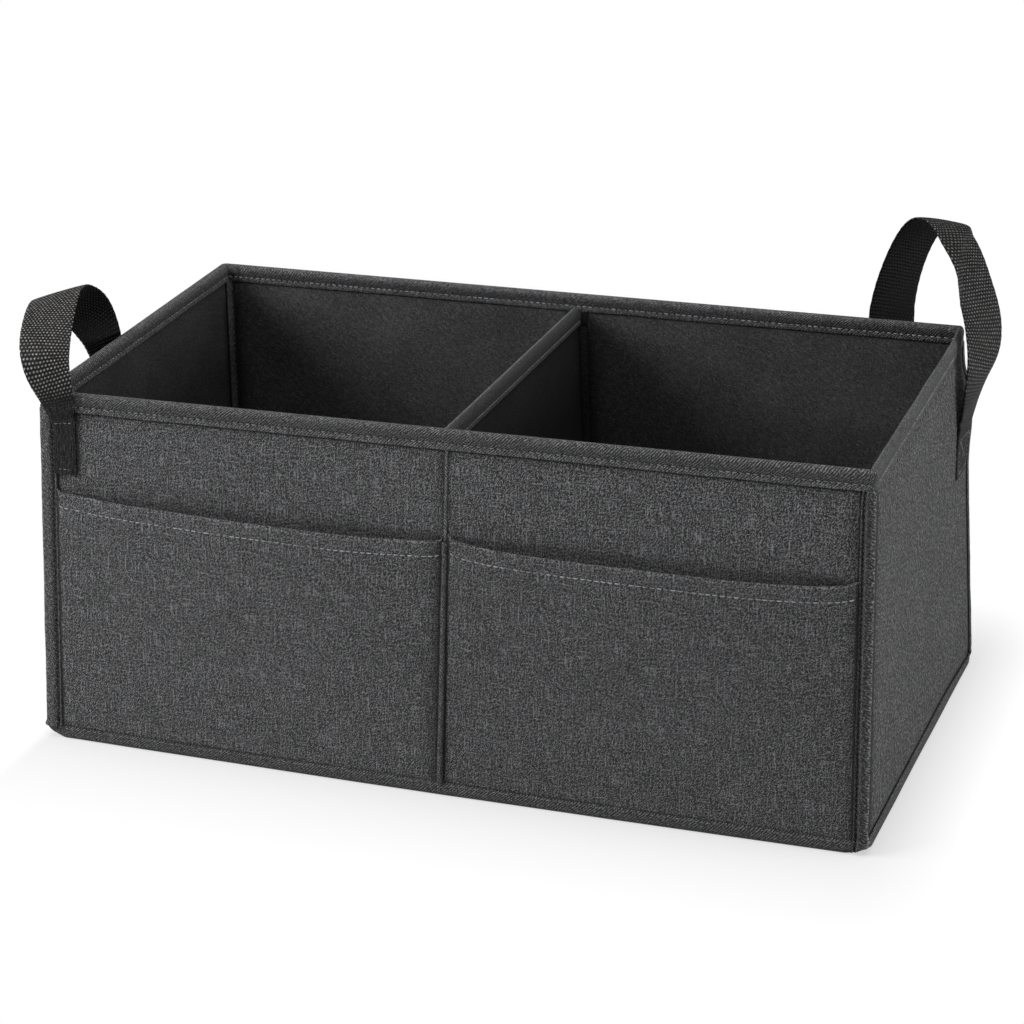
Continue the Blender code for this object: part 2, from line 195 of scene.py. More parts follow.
def soft_noise(x, y, cell, seed):
    """Smooth noise from -1 to 1 over two coordinates, the same each run."""
    table = np.random.RandomState(seed).uniform(-1, 1, (64, 64))
    x, y = np.broadcast_arrays(np.asarray(x, float) / cell + 17.3, np.asarray(y, float) / cell + 9.1)
    left, low = np.floor(x).astype(int), np.floor(y).astype(int)
    across, up = x - left, y - low
    across = across * across * (3 - 2 * across)
    up = up * up * (3 - 2 * up)
    left, low = left % 64, low % 64
    right, high = (left + 1) % 64, (low + 1) % 64
    bottom = table[left, low] * (1 - across) + table[right, low] * across
    top = table[left, high] * (1 - across) + table[right, high] * across
    return bottom * (1 - up) + top * up


def noise_column(place, cell, seed, row=0.0):
    """Smooth noise along a line, as one column of a grid."""
    return soft_noise(place, row, cell, seed)[:, None]


def handle_corner_shift(right, back, z):
    """How far the back right corner moves right: out at the handle and in above it."""
    at_wall = smoothstep(right, 0.94, 1.0)
    pushed = at_wall * smoothstep(back, 0.70, 1.0) * bump_at(z, *HANDLE_PUSH_HEIGHT)
    drawn = at_wall * smoothstep(back, 0.86, 1.0) * smoothstep(z, *CORNER_DRAW_HEIGHT)
    return HANDLE_PUSH * pushed - CORNER_DRAW * drawn


def pinch_shift(x, back, z):
    """How far the inside of the right wall's rim moves right, where the rim is thinner at the top."""
    inward = WALL_X + CLEARANCE + TAPE - x
    zone = np.clip(inward / PINCH_WIDTH, 0, 1) * (1 - smoothstep(inward, 0.008, 0.018))
    thinner = PINCH[0] + (PINCH[1] - PINCH[0]) * back
    return thinner * zone * smoothstep(z, HEIGHT - 0.020, HEIGHT - 0.003)


def leaned(points):
    """The points of the square box moved to where the soft box stands."""
    x, y, z = points.T
    right = np.clip(x / LENGTH + 0.5, 0, 1)
    back = np.clip(y / DEPTH + 0.5, 0, 1)
    top = np.clip(z / HEIGHT, 0, 1)
    moved = points.copy()
    for (side_x, side_y, is_top), shift in LEAN.items():
        weight = (right if side_x > 0 else 1 - right) * (back if side_y > 0 else 1 - back)
        weight = weight * (top if is_top else 1 - top)
        moved += weight[:, None] * np.array(shift)
    moved[:, 0] += handle_corner_shift(right, back, z) + pinch_shift(x, back, z)
    moved[:, 1] -= FRONT_FOOT_BOW * (1 - back) * (1 - top) ** 2 * np.sin(math.pi * right)
    near_x = np.clip(1 - (LENGTH / 2 - np.abs(x)) / CORNER_REACH, 0, 1)
    near_y = np.clip(1 - (DEPTH / 2 - np.abs(y)) / CORNER_REACH, 0, 1)
    near_z = np.clip(1 - z / CORNER_RISE, 0, 0.97)
    near = (near_x * near_y) ** 1.4
    pull = near * (1 - np.sqrt(1 - near_z**2)) * CORNER_PULL
    moved[:, 0] -= np.sign(x) * pull
    moved[:, 1] -= np.sign(y) * pull
    moved[:, 2] += near * near_z * CORNER_LIFT
    return moved


def add_attribute(mesh, label, values):
    attribute = mesh.attributes.new(label, "FLOAT", "POINT")
    attribute.data.foreach_set("value", values.astype(np.float32))


class Shape:
    """Patches of one piece, gathered before they become a mesh."""

    def __init__(self):
        self.points = []
        self.faces = []
        self.corners = []
        self.painted_shade = []
        self.painted_highlight = []
        self.slots = []
        self.count = 0

    def add(self, points, faces, corners, painted_shade=0.0, painted_highlight=0.0, slot=0, closed=True):
        """One patch. A closed shell is turned inside out if its faces point inwards."""
        points = np.array(points, float).reshape(-1, 3)
        if closed:
            a, b, c, d = (points[faces[:, k]] - points.mean(0) for k in range(4))
            volume = (a * np.cross(b, c)).sum() + (a * np.cross(c, d)).sum()
            if volume < 0:
                faces, corners = faces[:, ::-1], corners[:, ::-1]
        self.points.append(points)
        self.faces.append(faces + self.count)
        self.corners.append(corners)
        self.painted_shade.append(np.broadcast_to(np.ravel(painted_shade), len(points)))
        self.painted_highlight.append(np.broadcast_to(np.ravel(painted_highlight), len(points)))
        self.slots.append(np.broadcast_to(slot, len(faces)))
        self.count += len(points)

    def piece(self, name, materials, replaces=(), sharp=48):
        """The mesh of all the patches, leaned with the box. sharp is in degrees."""
        points = leaned(np.vstack(self.points))
        faces = np.vstack(self.faces)
        mesh = bpy.data.meshes.new(name)
        mesh.vertices.add(len(points))
        mesh.vertices.foreach_set("co", points.astype(np.float32).ravel())
        mesh.loops.add(4 * len(faces))
        mesh.loops.foreach_set("vertex_index", faces.astype(np.int32).ravel())
        mesh.polygons.add(len(faces))
        mesh.polygons.foreach_set("loop_start", np.arange(0, 4 * len(faces), 4, dtype=np.int32))
        mesh.polygons.foreach_set("material_index", np.concatenate(self.slots).astype(np.int32))
        layer = mesh.uv_layers.new(name="cloth")
        layer.data.foreach_set("uv", np.vstack(self.corners).astype(np.float32).ravel())
        # Painted shade and painted highlight of each point, which the materials read to darken and lighten
        # the colour
        add_attribute(mesh, "painted_shade", np.concatenate(self.painted_shade))
        add_attribute(mesh, "painted_highlight", np.concatenate(self.painted_highlight))
        mesh.update(calc_edges=True)
        mesh.validate()
        for material in materials:
            mesh.materials.append(material)
        mesh.shade_smooth()
        mesh.set_sharp_from_angle(angle=math.radians(sharp))
        obj = bpy.data.objects.new(name, mesh)
        bpy.context.scene.collection.objects.link(obj)
        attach(obj, "root")
        if replaces:
            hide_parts(*replaces)
        return obj


def grid_faces(rows, columns, loop_rows=False, loop_columns=False):
    """Quads of a grid as (face, 4), and the unwrapped (row, column) of their corners."""
    last_row = rows if loop_rows else rows - 1
    last_column = columns if loop_columns else columns - 1
    row, column = np.meshgrid(np.arange(last_row), np.arange(last_column), indexing="ij")
    row, column = row.ravel(), column.ravel()
    corner_rows = np.stack([row, row + 1, row + 1, row], 1)
    corner_columns = np.stack([column, column, column + 1, column + 1], 1)
    faces = (corner_rows % rows) * columns + corner_columns % columns
    return faces, corner_rows, corner_columns


def add_sheet(shape, front, back, flat, painted_shade=0.0, painted_highlight=0.0):
    """A sheet of cloth between two grids of points, closed round its border. flat is its (u, v) grids."""
    rows, columns = front.shape[:2]
    total = rows * columns
    flat = np.stack(np.broadcast_arrays(*flat), -1)
    faces, r, c = grid_faces(rows, columns)
    corner = flat[r, c]
    number = np.arange(total).reshape(rows, columns)
    border = np.concatenate([number[0, :-1], number[:-1, -1], number[-1, :0:-1], number[:0:-1, 0]])
    after = np.roll(border, -1)
    edge = np.stack([border, after, after + total, border + total], 1)
    edge_flat = flat.reshape(-1, 2)[np.stack([border, after, after, border], 1)]
    shape.add(
        np.vstack([front.reshape(-1, 3), back.reshape(-1, 3)]),
        np.vstack([faces, faces[:, ::-1] + total, edge[:, ::-1]]),
        np.vstack([corner, corner[:, ::-1], edge_flat[:, ::-1]]),
        np.tile(np.ravel(np.broadcast_to(painted_shade, (rows, columns))), 2),
        np.tile(np.ravel(np.broadcast_to(painted_highlight, (rows, columns))), 2),
    )


def add_sweep(shape, sections, along, around, painted_shade=0.0, painted_highlight=0.0, closed=False, slot=0):
    """A closed outline carried along stations, with its ends capped where it isn't a ring.

    sections is (stations, outline points, 3). along holds the distance at each station, and around the
    distance at each outline point, the same for all stations or not. Both have one more value where
    they close on themselves. The caps take the slot of the last face.
    """
    stations, outline = sections.shape[:2]
    faces, r, c = grid_faces(stations, outline, loop_rows=closed, loop_columns=True)
    flat = np.stack(np.broadcast_arrays(around, along[:, None]), -1)
    slots = np.broadcast_to(slot, len(faces))
    faces, corners = [faces], [flat[r, c]]
    if not closed:
        low = np.arange(outline // 2)
        quads = np.stack([low, low + 1, outline - 2 - low, outline - 1 - low], 1)
        quads = quads[quads[:, 1] < quads[:, 2]]
        for start, turn in ((0, 1), ((stations - 1) * outline, -1)):
            faces.append((quads + start)[:, ::-turn])
            corners.append(np.full((len(quads), 4, 2), along[0]))
        slots = np.concatenate([slots, np.full(2 * len(quads), slots[-1])])
    painted_shade = np.broadcast_to(painted_shade, (stations, outline))
    painted_highlight = np.broadcast_to(painted_highlight, (stations, outline))
    shape.add(sections, np.vstack(faces), np.vstack(corners), painted_shade, painted_highlight, slots)


def tape_outline(line, back_step=1, end_points=4):
    """Closed outline round a tape's middle line: out along one face, round the end, and back.

    The face that lies on the cloth takes one point in back_step. Returns the outline's points, the
    distance along the tape of each and of one more that closes it, and the side, 1 or -1.
    """
    line = np.array(line)
    step = np.gradient(line, axis=0)
    step /= np.linalg.norm(step, axis=1)[:, None]
    normal = np.stack([step[:, 1], -step[:, 0]], 1)
    distance = distances(line)
    back = sorted({*range(0, len(line), back_step), len(line) - 1}, reverse=True)
    angle = math.pi * np.arange(1, end_points) / end_points
    cos, sin = np.cos(angle)[:, None], np.sin(angle)[:, None]
    half = TAPE / 2
    points = [
        line + normal * half,
        line[-1] + half * (normal[-1] * cos + step[-1] * sin),
        line[back] - normal[back] * half,
        line[0] - half * (normal[0] * cos + step[0] * sin),
    ]
    places = [distance, np.full(len(angle), distance[-1]), distance[back], np.zeros(len(angle)), [TAPE]]
    sides = [np.ones(len(line)), np.cos(angle), -np.ones(len(back)), -np.cos(angle)]
    return np.vstack(points), np.concatenate(places), np.concatenate(sides)


def folded_line(middle, reach, lows, shoulder, crest, counts):
    """A tape's line up one side of an edge, over it in an arch, and down the other side."""
    line = [(middle + reach, z) for z in np.linspace(lows[0], shoulder, counts[0])]
    for k in range(1, counts[1]):
        angle = math.pi * k / counts[1]
        line.append((middle + reach * math.cos(angle), shoulder + crest * math.sin(angle)))
    return line + [(middle - reach, z) for z in np.linspace(shoulder, lows[1], counts[2])]


class Ring:
    """A path round a rectangle with rounded corners, which can be tighter inside than outside.

    The corner radius is inner where the offset from the path is low, and outer where it is high.
    """

    def __init__(self, inner, outer, low, high, step, arc_steps):
        self.inner, self.outer, self.low, self.high = inner, outer, low, high
        rows = []
        for quarter in range(4):
            angle = math.radians(90 * quarter)
            reach, span = (WALL_X, WALL_Y) if quarter % 2 == 0 else (WALL_Y, WALL_X)
            count = round(2 * (span - outer) / step)
            stations = [(2 * k / count - 1, 0.0) for k in range(count)]
            stations += [(1.0, math.pi / 2 * k / arc_steps) for k in range(arc_steps)]
            rows += [(math.cos(angle), math.sin(angle), reach, span, run, turn) for run, turn in stations]
        rows = np.array(rows)
        self.out = rows[:, :2]
        self.ahead = np.stack([-rows[:, 1], rows[:, 0]], 1)
        self.reach, self.span, self.run = rows[:, 2:5].T
        self.cos, self.sin = np.cos(rows[:, 5]), np.sin(rows[:, 5])
        self.normals = self.out * self.cos[:, None] + self.ahead * self.sin[:, None]
        self.points = self.at(np.zeros(len(rows)))
        self.place = distances(np.vstack([self.points, self.points[:1]]))

    def at(self, offset):
        """Points at an offset outwards, one for each station."""
        share = np.clip((offset - self.low) / (self.high - self.low), 0, 1)
        radius = self.inner + (self.outer - self.inner) * share
        across = self.reach + offset - radius + radius * self.cos
        along = self.run * (self.span + offset - radius) + radius * self.sin
        return self.out * across[:, None] + self.ahead * along[:, None]

    def sections(self, offsets, heights):
        """3-D sections from (station, outline) offsets and heights."""
        flat = np.stack([self.at(column) for column in offsets.T], 1)
        return np.concatenate([flat, heights[..., None]], -1)

    def line(self, offset, height):
        """A closed 3-D line at an offset and a height, with its outward normals."""
        flat = self.at(np.broadcast_to(offset, self.run.shape))
        points = np.hstack([flat, np.full((len(flat), 1), height)])
        normals = np.hstack([self.normals, np.zeros((len(flat), 1))])
        return np.vstack([points, points[:1]]), np.vstack([normals, normals[:1]])


def add_stitches(shape, points, normals, sizes, seed, slot=0):
    """A row of sewing stitches along a line on a surface, each a short bowed thread."""
    pitch, length, width, lift = sizes
    place = distances(points)
    count = int(place[-1] // pitch)
    rng = np.random.RandomState(seed)
    start = (place[-1] - count * pitch) / 2 + np.arange(count) * pitch + (pitch - length) / 2
    start = start + rng.uniform(-0.05, 0.05, count) * pitch
    end = start + length * rng.uniform(0.92, 1.06, count)
    first, last = read_along(start, place, points), read_along(end, place, points)
    up = read_along((start + end) / 2, place, normals)
    up /= np.linalg.norm(up, axis=1)[:, None]
    along = last - first
    side = np.cross(up, along)
    side /= np.linalg.norm(side, axis=1)[:, None]
    slant = rng.uniform(-0.12, 0.12, count)[:, None] * width
    stations, sides = 7, 6
    vertices = np.zeros((count, stations, sides, 3))
    for k in range(stations):
        t = k / (stations - 1)
        bow = math.sin(math.pi * t)
        middle = first + along * t + up * (lift * (1.6 * bow - 0.6)) + side * slant * (t - 0.5)
        fullness = max(0.12, min(1.0, 1.6 * bow))
        for s in range(sides):
            angle = 2 * math.pi * s / sides
            sideways = side * (width / 2 * fullness * math.cos(angle))
            vertices[:, k, s] = middle + sideways + up * (width * 0.42 * fullness * math.sin(angle))
    faces, _, _ = grid_faces(stations, sides, loop_columns=True)
    first_vertex = np.arange(count) * stations * sides
    tone = np.repeat(rng.uniform(0, 1, count), len(faces))
    faces = (faces[None] + first_vertex[:, None, None]).reshape(-1, 4)
    shape.add(vertices, faces, np.broadcast_to(tone[:, None, None], (len(faces), 4, 2)), slot=slot)


def spaced(low, high, fine, coarse, marks, reach):
    """Values from low to high, closer together round the marks."""
    values = [low]
    while values[-1] < high:
        near = min([abs(values[-1] - mark) for mark in marks] or [1.0])
        step = min(coarse, max(fine, near - reach + fine))
        values.append(values[-1] + (fine if near < reach else step))
    values = np.array(values)
    return low + (values - low) * (high - low) / (values[-1] - low)


# Materials

# How much darker full painted shade makes the colour, and how much lighter a full painted highlight makes it
PAINTED_SHADE_DEPTH = 0.93
PAINTED_HIGHLIGHT_LIFT = 0.50
# The noise above which a slub shows
SLUB_FLOOR = 0.12
# Width and length of one bump of the ribbed webbing
RIB_CELL = (0.0021, 0.0022)


class Tree:
    """Short names for the nodes of one shader."""

    def __init__(self, node_tree):
        self.nodes = node_tree.nodes
        self.links = node_tree.links

    def join(self, target, value):
        if isinstance(value, bpy.types.NodeSocket):
            self.links.new(value, target)
        else:
            target.default_value = value

    def new(self, kind, inputs=None):
        """A new node, with values or links for some of its inputs."""
        node = self.nodes.new(f"ShaderNode{kind}")
        for key, value in (inputs or {}).items():
            self.join(node.inputs[key], value)
        return node

    def math(self, operation, *values):
        node = self.new("Math")
        node.operation = operation
        for target, value in zip(node.inputs, values):
            self.join(target, value)
        return node.outputs[0]


class Cloth(Tree):
    """The nodes of one material, over the flat coordinates of its cloth."""

    def __init__(self, name):
        self.material = bpy.data.materials.new(name)
        self.material.use_nodes = True
        super().__init__(self.material.node_tree)
        self.shader = self.nodes["Principled BSDF"]
        self.flat = self.new("UVMap")
        self.flat.uv_map = "cloth"

    def turned(self, angle, wide, tall):
        """The flat cloth's coordinates, turned and counted in cells of wide by tall metres."""
        node = self.new("Mapping")
        node.vector_type = "TEXTURE"
        self.join(node.inputs["Vector"], self.flat.outputs[0])
        node.inputs["Rotation"].default_value = (0, 0, math.radians(angle))
        node.inputs["Scale"].default_value = (wide, tall, 1)
        return node.outputs[0]

    def split(self, angle, wide, tall):
        """The two coordinates of turned, each by itself."""
        return self.new("SeparateXYZ", {0: self.turned(angle, wide, tall)}).outputs

    def noise(self, angle, wide, tall, detail=0.0, distortion=0.0):
        """Noise in cells of wide by tall metres, centred on zero."""
        node = self.new("TexNoise")
        node.noise_dimensions = "2D"
        self.join(node.inputs["Vector"], self.turned(angle, wide, tall))
        node.inputs["Scale"].default_value = 1.0
        node.inputs["Detail"].default_value = detail
        node.inputs["Distortion"].default_value = distortion
        return self.math("SUBTRACT", node.outputs[0], 0.5)

    def layers(self, *rows):
        """Layers of noise and their shares. A row is the share, then what noise takes."""
        return [(self.noise(*row[1:]), row[0]) for row in rows]

    def slubs(self, angle, wide, tall):
        """Only the peaks of the noise, as the thick places in a yarn."""
        return self.math("MAXIMUM", self.math("SUBTRACT", self.noise(angle, wide, tall), SLUB_FLOOR), 0.0)

    def ridges(self, angle, pitch, wander=0.6):
        """Straight parallel ridges from -1 to 1, with a slight wander."""
        place = self.split(angle, pitch, pitch)[1]
        shifted = self.math("MULTIPLY_ADD", self.noise(angle, pitch * 9, pitch * 4, 1.0), wander, place)
        return self.math("SINE", self.math("MULTIPLY", shifted, 2 * math.pi))

    def bumps(self, place):
        """Narrow rounded bumps from 0 to 1, one to each whole number."""
        wave = self.math("COSINE", self.math("MULTIPLY", place, 2 * math.pi))
        return self.math("POWER", self.math("MULTIPLY_ADD", wave, 0.5, 0.5), 2.0)

    def sum(self, *terms):
        total = self.math("MULTIPLY", *terms[0])
        for value, share in terms[1:]:
            total = self.math("MULTIPLY_ADD", value, share, total)
        return total

    def attribute(self, name):
        node = self.new("Attribute")
        node.attribute_name = name
        return node.outputs["Fac"]

    def finish(self, colour, tone, height, depth, roughness, sheen=0.0, specular=0.3):
        """Colour times tone, darker where shade is painted and lighter where highlights are painted, with a
        bump.
        """
        # Painted shade darkens the colour and painted highlight lightens it
        dark = self.math("MULTIPLY_ADD", self.attribute("painted_shade"), -PAINTED_SHADE_DEPTH, 1.0)
        highlight_gain = self.math("MULTIPLY_ADD", self.attribute("painted_highlight"), PAINTED_HIGHLIGHT_LIFT, 1.0)
        scaled = self.new("VectorMath")
        scaled.operation = "SCALE"
        scaled.inputs[0].default_value = colour
        self.join(scaled.inputs["Scale"], self.math("MULTIPLY", tone, self.math("MULTIPLY", dark, highlight_gain)))
        bump = self.new("Bump", {"Strength": 1.0, "Distance": depth, "Height": height})
        for key, value in (
            ("Base Color", scaled.outputs[0]),
            ("Roughness", roughness),
            ("Specular IOR Level", specular),
            ("Sheen Weight", sheen),
            ("Sheen Roughness", 0.5),
            ("Normal", bump.outputs[0]),
        ):
            self.join(self.shader.inputs[key], value)
        return self.material

    def woven(self, colour, contrast, weave, shades, limits, depth, roughness, sheen=0.08, specular=0.3):
        """Cloth whose tone is the exponent of its weave and shades, kept within limits."""
        height = self.sum(*weave)
        tone = self.math("EXPONENT", self.sum((height, contrast), *shades))
        tone = self.math("MINIMUM", self.math("MAXIMUM", tone, limits[0]), limits[1])
        return self.finish(colour, tone, height, depth, roughness, sheen, specular)


def heather(name, colour):
    """Heathered cloth: a fine grain of short dashes, with a few long slubs both ways."""
    cloth = Cloth(name)
    weave = cloth.layers((2.5, 50, 0.0019, 0.00064), (2.1, -44, 0.0013, 0.00060), (3.2, 15, 0.00064, 0.00064))
    weave += [(cloth.slubs(90, 0.0120, 0.00080), 4.0), (cloth.slubs(1, 0.0100, 0.00080), 3.2)]
    shades = cloth.layers((0.60, 60, 0.0085, 0.0045, 1.0), (0.45, 0, 0.034, 0.034, 2.0))
    return cloth.woven(colour, 1.70, weave, shades, (0.10, 5.0), 0.00034, 0.93)


def upright_heather(name, colour):
    """The right wall's cloth: the same fine grain under broader level dashes and upright slubs."""
    cloth = Cloth(name)
    weave = cloth.layers(
        (3.4, 50, 0.0017, 0.0008),
        (3.0, -44, 0.0015, 0.0007),
        (3.4, 12, 0.0027, 0.0012, 0.0, 0.4),
        (2.0, 86, 0.009, 0.0024, 1.0),
    )
    shades = cloth.layers((0.60, 0, 0.034, 0.034, 2.0))
    return cloth.woven(colour, 1.35, weave, shades, (0.12, 4.5), 0.00034, 0.93)


def bias_twill(name, colour, contrast, ridges, angle=50, pitch=0.00125):
    """Bias-cut tape: fine straight ridges across the tape at a slant."""
    cloth = Cloth(name)
    weave = [(cloth.ridges(angle, pitch), ridges)]
    weave += cloth.layers((2.6, angle, 0.0020, 0.00075), (3.2, 10, 0.00070, 0.00070))
    shades = cloth.layers((0.45, angle, 0.0070, 0.0040, 1.0), (0.35, 0, 0.020, 0.020, 2.0))
    return cloth.woven(colour, contrast, weave, shades, (0.16, 4.0), 0.00032, 0.92)


def lining_cloth(name, colour):
    """Close plain weave, almost black, with a faint nap."""
    cloth = Cloth(name)
    weave = cloth.layers(
        (0.8, 90, 0.0040, 0.0006, 1.0),
        (0.8, 0, 0.0040, 0.0006, 1.0),
        (2.0, 35, 0.0030, 0.0009, 1.0, 1.2),
        (1.8, 20, 0.0009, 0.0009, 1.0, 0.8),
    )
    shades = cloth.layers((0.60, 0, 0.030, 0.030, 3.0))
    return cloth.woven(colour, 0.90, weave, shades, (0.3, 3.0), 0.00016, 0.90, 0.03, 0.12)


def webbing_cloth(name, colour):
    """Ribbed webbing: rows of small bumps painted bright as glints on a dark ground, each row half a step
    from the next.
    """
    cloth = Cloth(name)
    place = cloth.split(0, *RIB_CELL)
    along = cloth.math("MULTIPLY_ADD", cloth.noise(0, 0.007, 0.007, 1.0), 0.35, place[1])
    stagger = cloth.math("MODULO", cloth.math("ABSOLUTE", cloth.math("FLOOR", along)), 2.0)
    columns = cloth.bumps(cloth.math("MULTIPLY_ADD", stagger, 0.5, place[0]))
    rows = cloth.bumps(cloth.math("SUBTRACT", along, 0.5))
    unpressed = cloth.math("SUBTRACT", 1.0, cloth.attribute("pressed"))
    raised = cloth.math("MULTIPLY", cloth.math("MULTIPLY", columns, rows), unpressed)
    thread = cloth.noise(0, 0.0006, 0.0020, 1.0)
    patches = cloth.noise(0, 0.0030, 0.0030, 1.0)
    cloud = cloth.noise(0, 0.015, 0.015, 1.0)
    # The raised bumps are painted bright, as glints
    painted_glint = cloth.math("MULTIPLY", raised, cloth.math("MULTIPLY_ADD", patches, 2.0, 1.0))
    tone = cloth.sum((painted_glint, 7.4), (rows, 0.10), (thread, 0.6), (cloud, 0.3))
    tone = cloth.math("MAXIMUM", cloth.math("ADD", tone, 0.10), 0.06)
    height = cloth.sum((raised, 1.0), (rows, 0.3), (thread, 0.2))
    return cloth.finish(colour, tone, height, 0.00055, 0.62, specular=0.14)


def folded_webbing(name, colour):
    """The sewn ends of the straps: the ribs are pressed flat, with fine upright threads."""
    cloth = Cloth(name)
    weave = cloth.layers(
        (3.2, 90, 0.0050, 0.0008, 1.0),
        (2.6, 0, 0.0020, 0.0009, 1.0),
        (2.4, 30, 0.0008, 0.0008, 1.0),
    )
    return cloth.woven(colour, 1.0, weave, (), (0.0, 4.0), 0.00035, 0.66, 0.0, 0.12)


def thread_cloth(name, colour, spread=0.9):
    """Sewing thread: its tone changes from stitch to stitch."""
    cloth = Cloth(name)
    stitch = cloth.new("SeparateXYZ", {0: cloth.flat.outputs[0]})
    geometry = cloth.new("NewGeometry")
    fibre = cloth.new("TexNoise", {"Scale": 2600.0, "Vector": geometry.outputs["Position"]})
    fuzz = cloth.math("SUBTRACT", fibre.outputs[0], 0.5)
    tone = cloth.math("MULTIPLY_ADD", stitch.outputs[0], spread, 1.0 - spread / 2)
    tone = cloth.math("MULTIPLY_ADD", fuzz, 0.6, tone)
    return cloth.finish(colour, tone, fuzz, 0.0001, 0.6)


def board_card(name, colour):
    """Grey board with pressed fibres."""
    cloth = Cloth(name)
    fibres = cloth.noise(15, 0.006, 0.0008, 3.0)
    cloud = cloth.noise(0, 0.03, 0.03, 2.0)
    tone = cloth.math("ADD", cloth.sum((fibres, 0.5), (cloud, 0.3)), 1.0)
    return cloth.finish(colour, tone, fibres, 0.00008, 0.85)


CHARCOAL = heather("charcoal_twill", (0.0405, 0.0408, 0.0424))
SIDE_CHARCOAL = upright_heather("side_charcoal_twill", (0.0375, 0.0378, 0.0391))
BINDING = bias_twill("bias_tape", (0.0415, 0.0418, 0.0434), contrast=1.0, ridges=0.90)
CORNER_BINDING = bias_twill("corner_bias_tape", (0.0450, 0.0454, 0.0471), contrast=1.15, ridges=0.25)
INNER_LINING = lining_cloth("black_lining", (0.0484, 0.0486, 0.0500))
# The divider's covers take the lining cloth in a darker copy, as painted shade
SHADED_DIVIDER_LINING = lining_cloth("shaded_divider_lining", (0.0118, 0.0119, 0.0123))
STRAP = webbing_cloth("ribbed_webbing", (0.0496, 0.0479, 0.0470))
FOLDED_STRAP = folded_webbing("folded_webbing", (0.0140, 0.0136, 0.0132))
PALE_THREAD = thread_cloth("pale_thread", (0.250, 0.252, 0.260))
TAPE_THREAD = thread_cloth("tape_thread", (0.130, 0.131, 0.135))
# The thread inside the rim and along the divider is the rim's thread in a lighter copy, as painted light
# where it lies in shade
BRIGHTENED_INNER_THREAD = thread_cloth("brightened_inner_thread", (0.230, 0.231, 0.238))
SEAM_THREAD = thread_cloth("seam_thread", (0.070, 0.070, 0.072))
DARK_THREAD = thread_cloth("dark_thread", (0.125, 0.122, 0.119), spread=1.2)
# The rim's thread on the right wall is the same thread in a lighter copy, as painted light
BRIGHTENED_SIDE_THREAD = thread_cloth("brightened_side_thread", (0.165, 0.166, 0.170), spread=1.0)
CARD = board_card("grey_board", (0.180, 0.175, 0.165))


# Where the seams and tapes of the soft box lie

WALLS = ("front", "back", "left", "right")
WALL_HALF = {"front": WALL_X, "back": WALL_X, "left": WALL_Y, "right": WALL_Y}
CORNERS = (("front_left", -1, -1), ("front_right", 1, -1), ("back_right", 1, 1), ("back_left", -1, 1))
# How far a corner tape reaches round an end wall, and how much wider the front ones are on the front
SIDE_TAPE = 0.0033
TAPE_WIDER = (0.0013, -0.0014)
# How much lower the foot's tape is at the back right corner, and how far it dips along the two walls
FOOT_DROP = 0.50
FOOT_DIP = (0.090, 0.030)
# How far below the solids' rim the stitches are, outside and inside, and the tape's crest
RIM_STITCH_OUT = 0.0087
RIM_STITCH_IN = 0.0085
RIM_DROP = 0.0010
# The height of the arch in which the tape crosses the rim
RIM_CREST = 0.0031
# The bead along a corner tape's edge on the long wall, and the seam near its other edge
BEAD = 0.0012
SIDE_SEAM = 0.0024
INNER_TAPE_RADIUS = 0.0036
# How far each seam of an inner tape is from its edge
INNER_SEAM = 0.0012
# Spacing of the points along the straight tapes
TAPE_STEP = 0.0014
# The front seam: its width below and above the pockets' edges, its place at the foot and its slant
SEAM_LOW_WIDTH = 0.0033
SEAM_HIGH_WIDTH = 0.0022
SEAM_FOOT = 0.0008
SEAM_SLANT = 0.0165
# The folded end of the left handle: its right edge and its foot
TAB_EDGE = -LENGTH / 2 + FRONT_LEFT_FRONT_SEAM[0] + FOLDED_WIDTH / 2 - TAPE
TAB_FOOT = HEIGHT - FRONT_LEFT_FRONT_SEAM[1] - FRONT_LEFT_FRONT_SEAM[2]
# The pockets' edges: their sag and bulge, the drop at the seam, and the points at their ends
POCKET_SOFT_SAG = 0.0028
POCKET_SOFT_BULGE = 0.0062
POCKET_SEAM_DROP = 0.0030
POCKET_POINT = (0.0016, 0.0030)
POCKET_POINT_REACH = 0.0024
POCKET_OUTER_POINT = 0.0028
POCKET_END = WALL_X - CORNER_TAPE_WIDTH + 0.0002
POCKET_FOOT = BASE_TAPE_HEIGHT - 0.0002
# How far the wall behind shows above a pocket's edge for each metre that the edge stands out, in the photo
VIEW_SLOPE = 0.376
# How far right of the middle the divider stands, at the front and at the back, and how much higher
DIVIDER_FRONT_SHIFT = -0.0053
DIVIDER_BACK_SHIFT = -0.0016
DIVIDER_RISE = 0.0020
DIVIDER_TAPE_LOW = DIVIDER_TOP - DIVIDER_TAPE_HEIGHT


def wall_place(wall, along, out, height):
    """World place of a point: distance along a wall from its middle, out of its outer face, and up."""
    along, out, height = np.broadcast_arrays(along, out, height)
    if wall == "front":
        return np.stack([along, -(WALL_Y + out), height], -1)
    if wall == "back":
        return np.stack([-along, WALL_Y + out, height], -1)
    if wall == "left":
        return np.stack([-(WALL_X + out), -along, height], -1)
    return np.stack([WALL_X + out, along, height], -1)


def foot_height(x, y):
    """The height of the foot's tape, which dips at the back right corner."""
    toward_back = smoothstep(y, WALL_Y - FOOT_DIP[0], WALL_Y + 0.010)
    at_right = smoothstep(x, WALL_X - FOOT_DIP[1], WALL_X - 0.002)
    return BASE_TAPE_HEIGHT * (1 - FOOT_DROP * toward_back * at_right)


def seam_shift(height):
    """How far right of the middle the front seam stands. It slants to the right going up."""
    return SEAM_FOOT + SEAM_SLANT * height


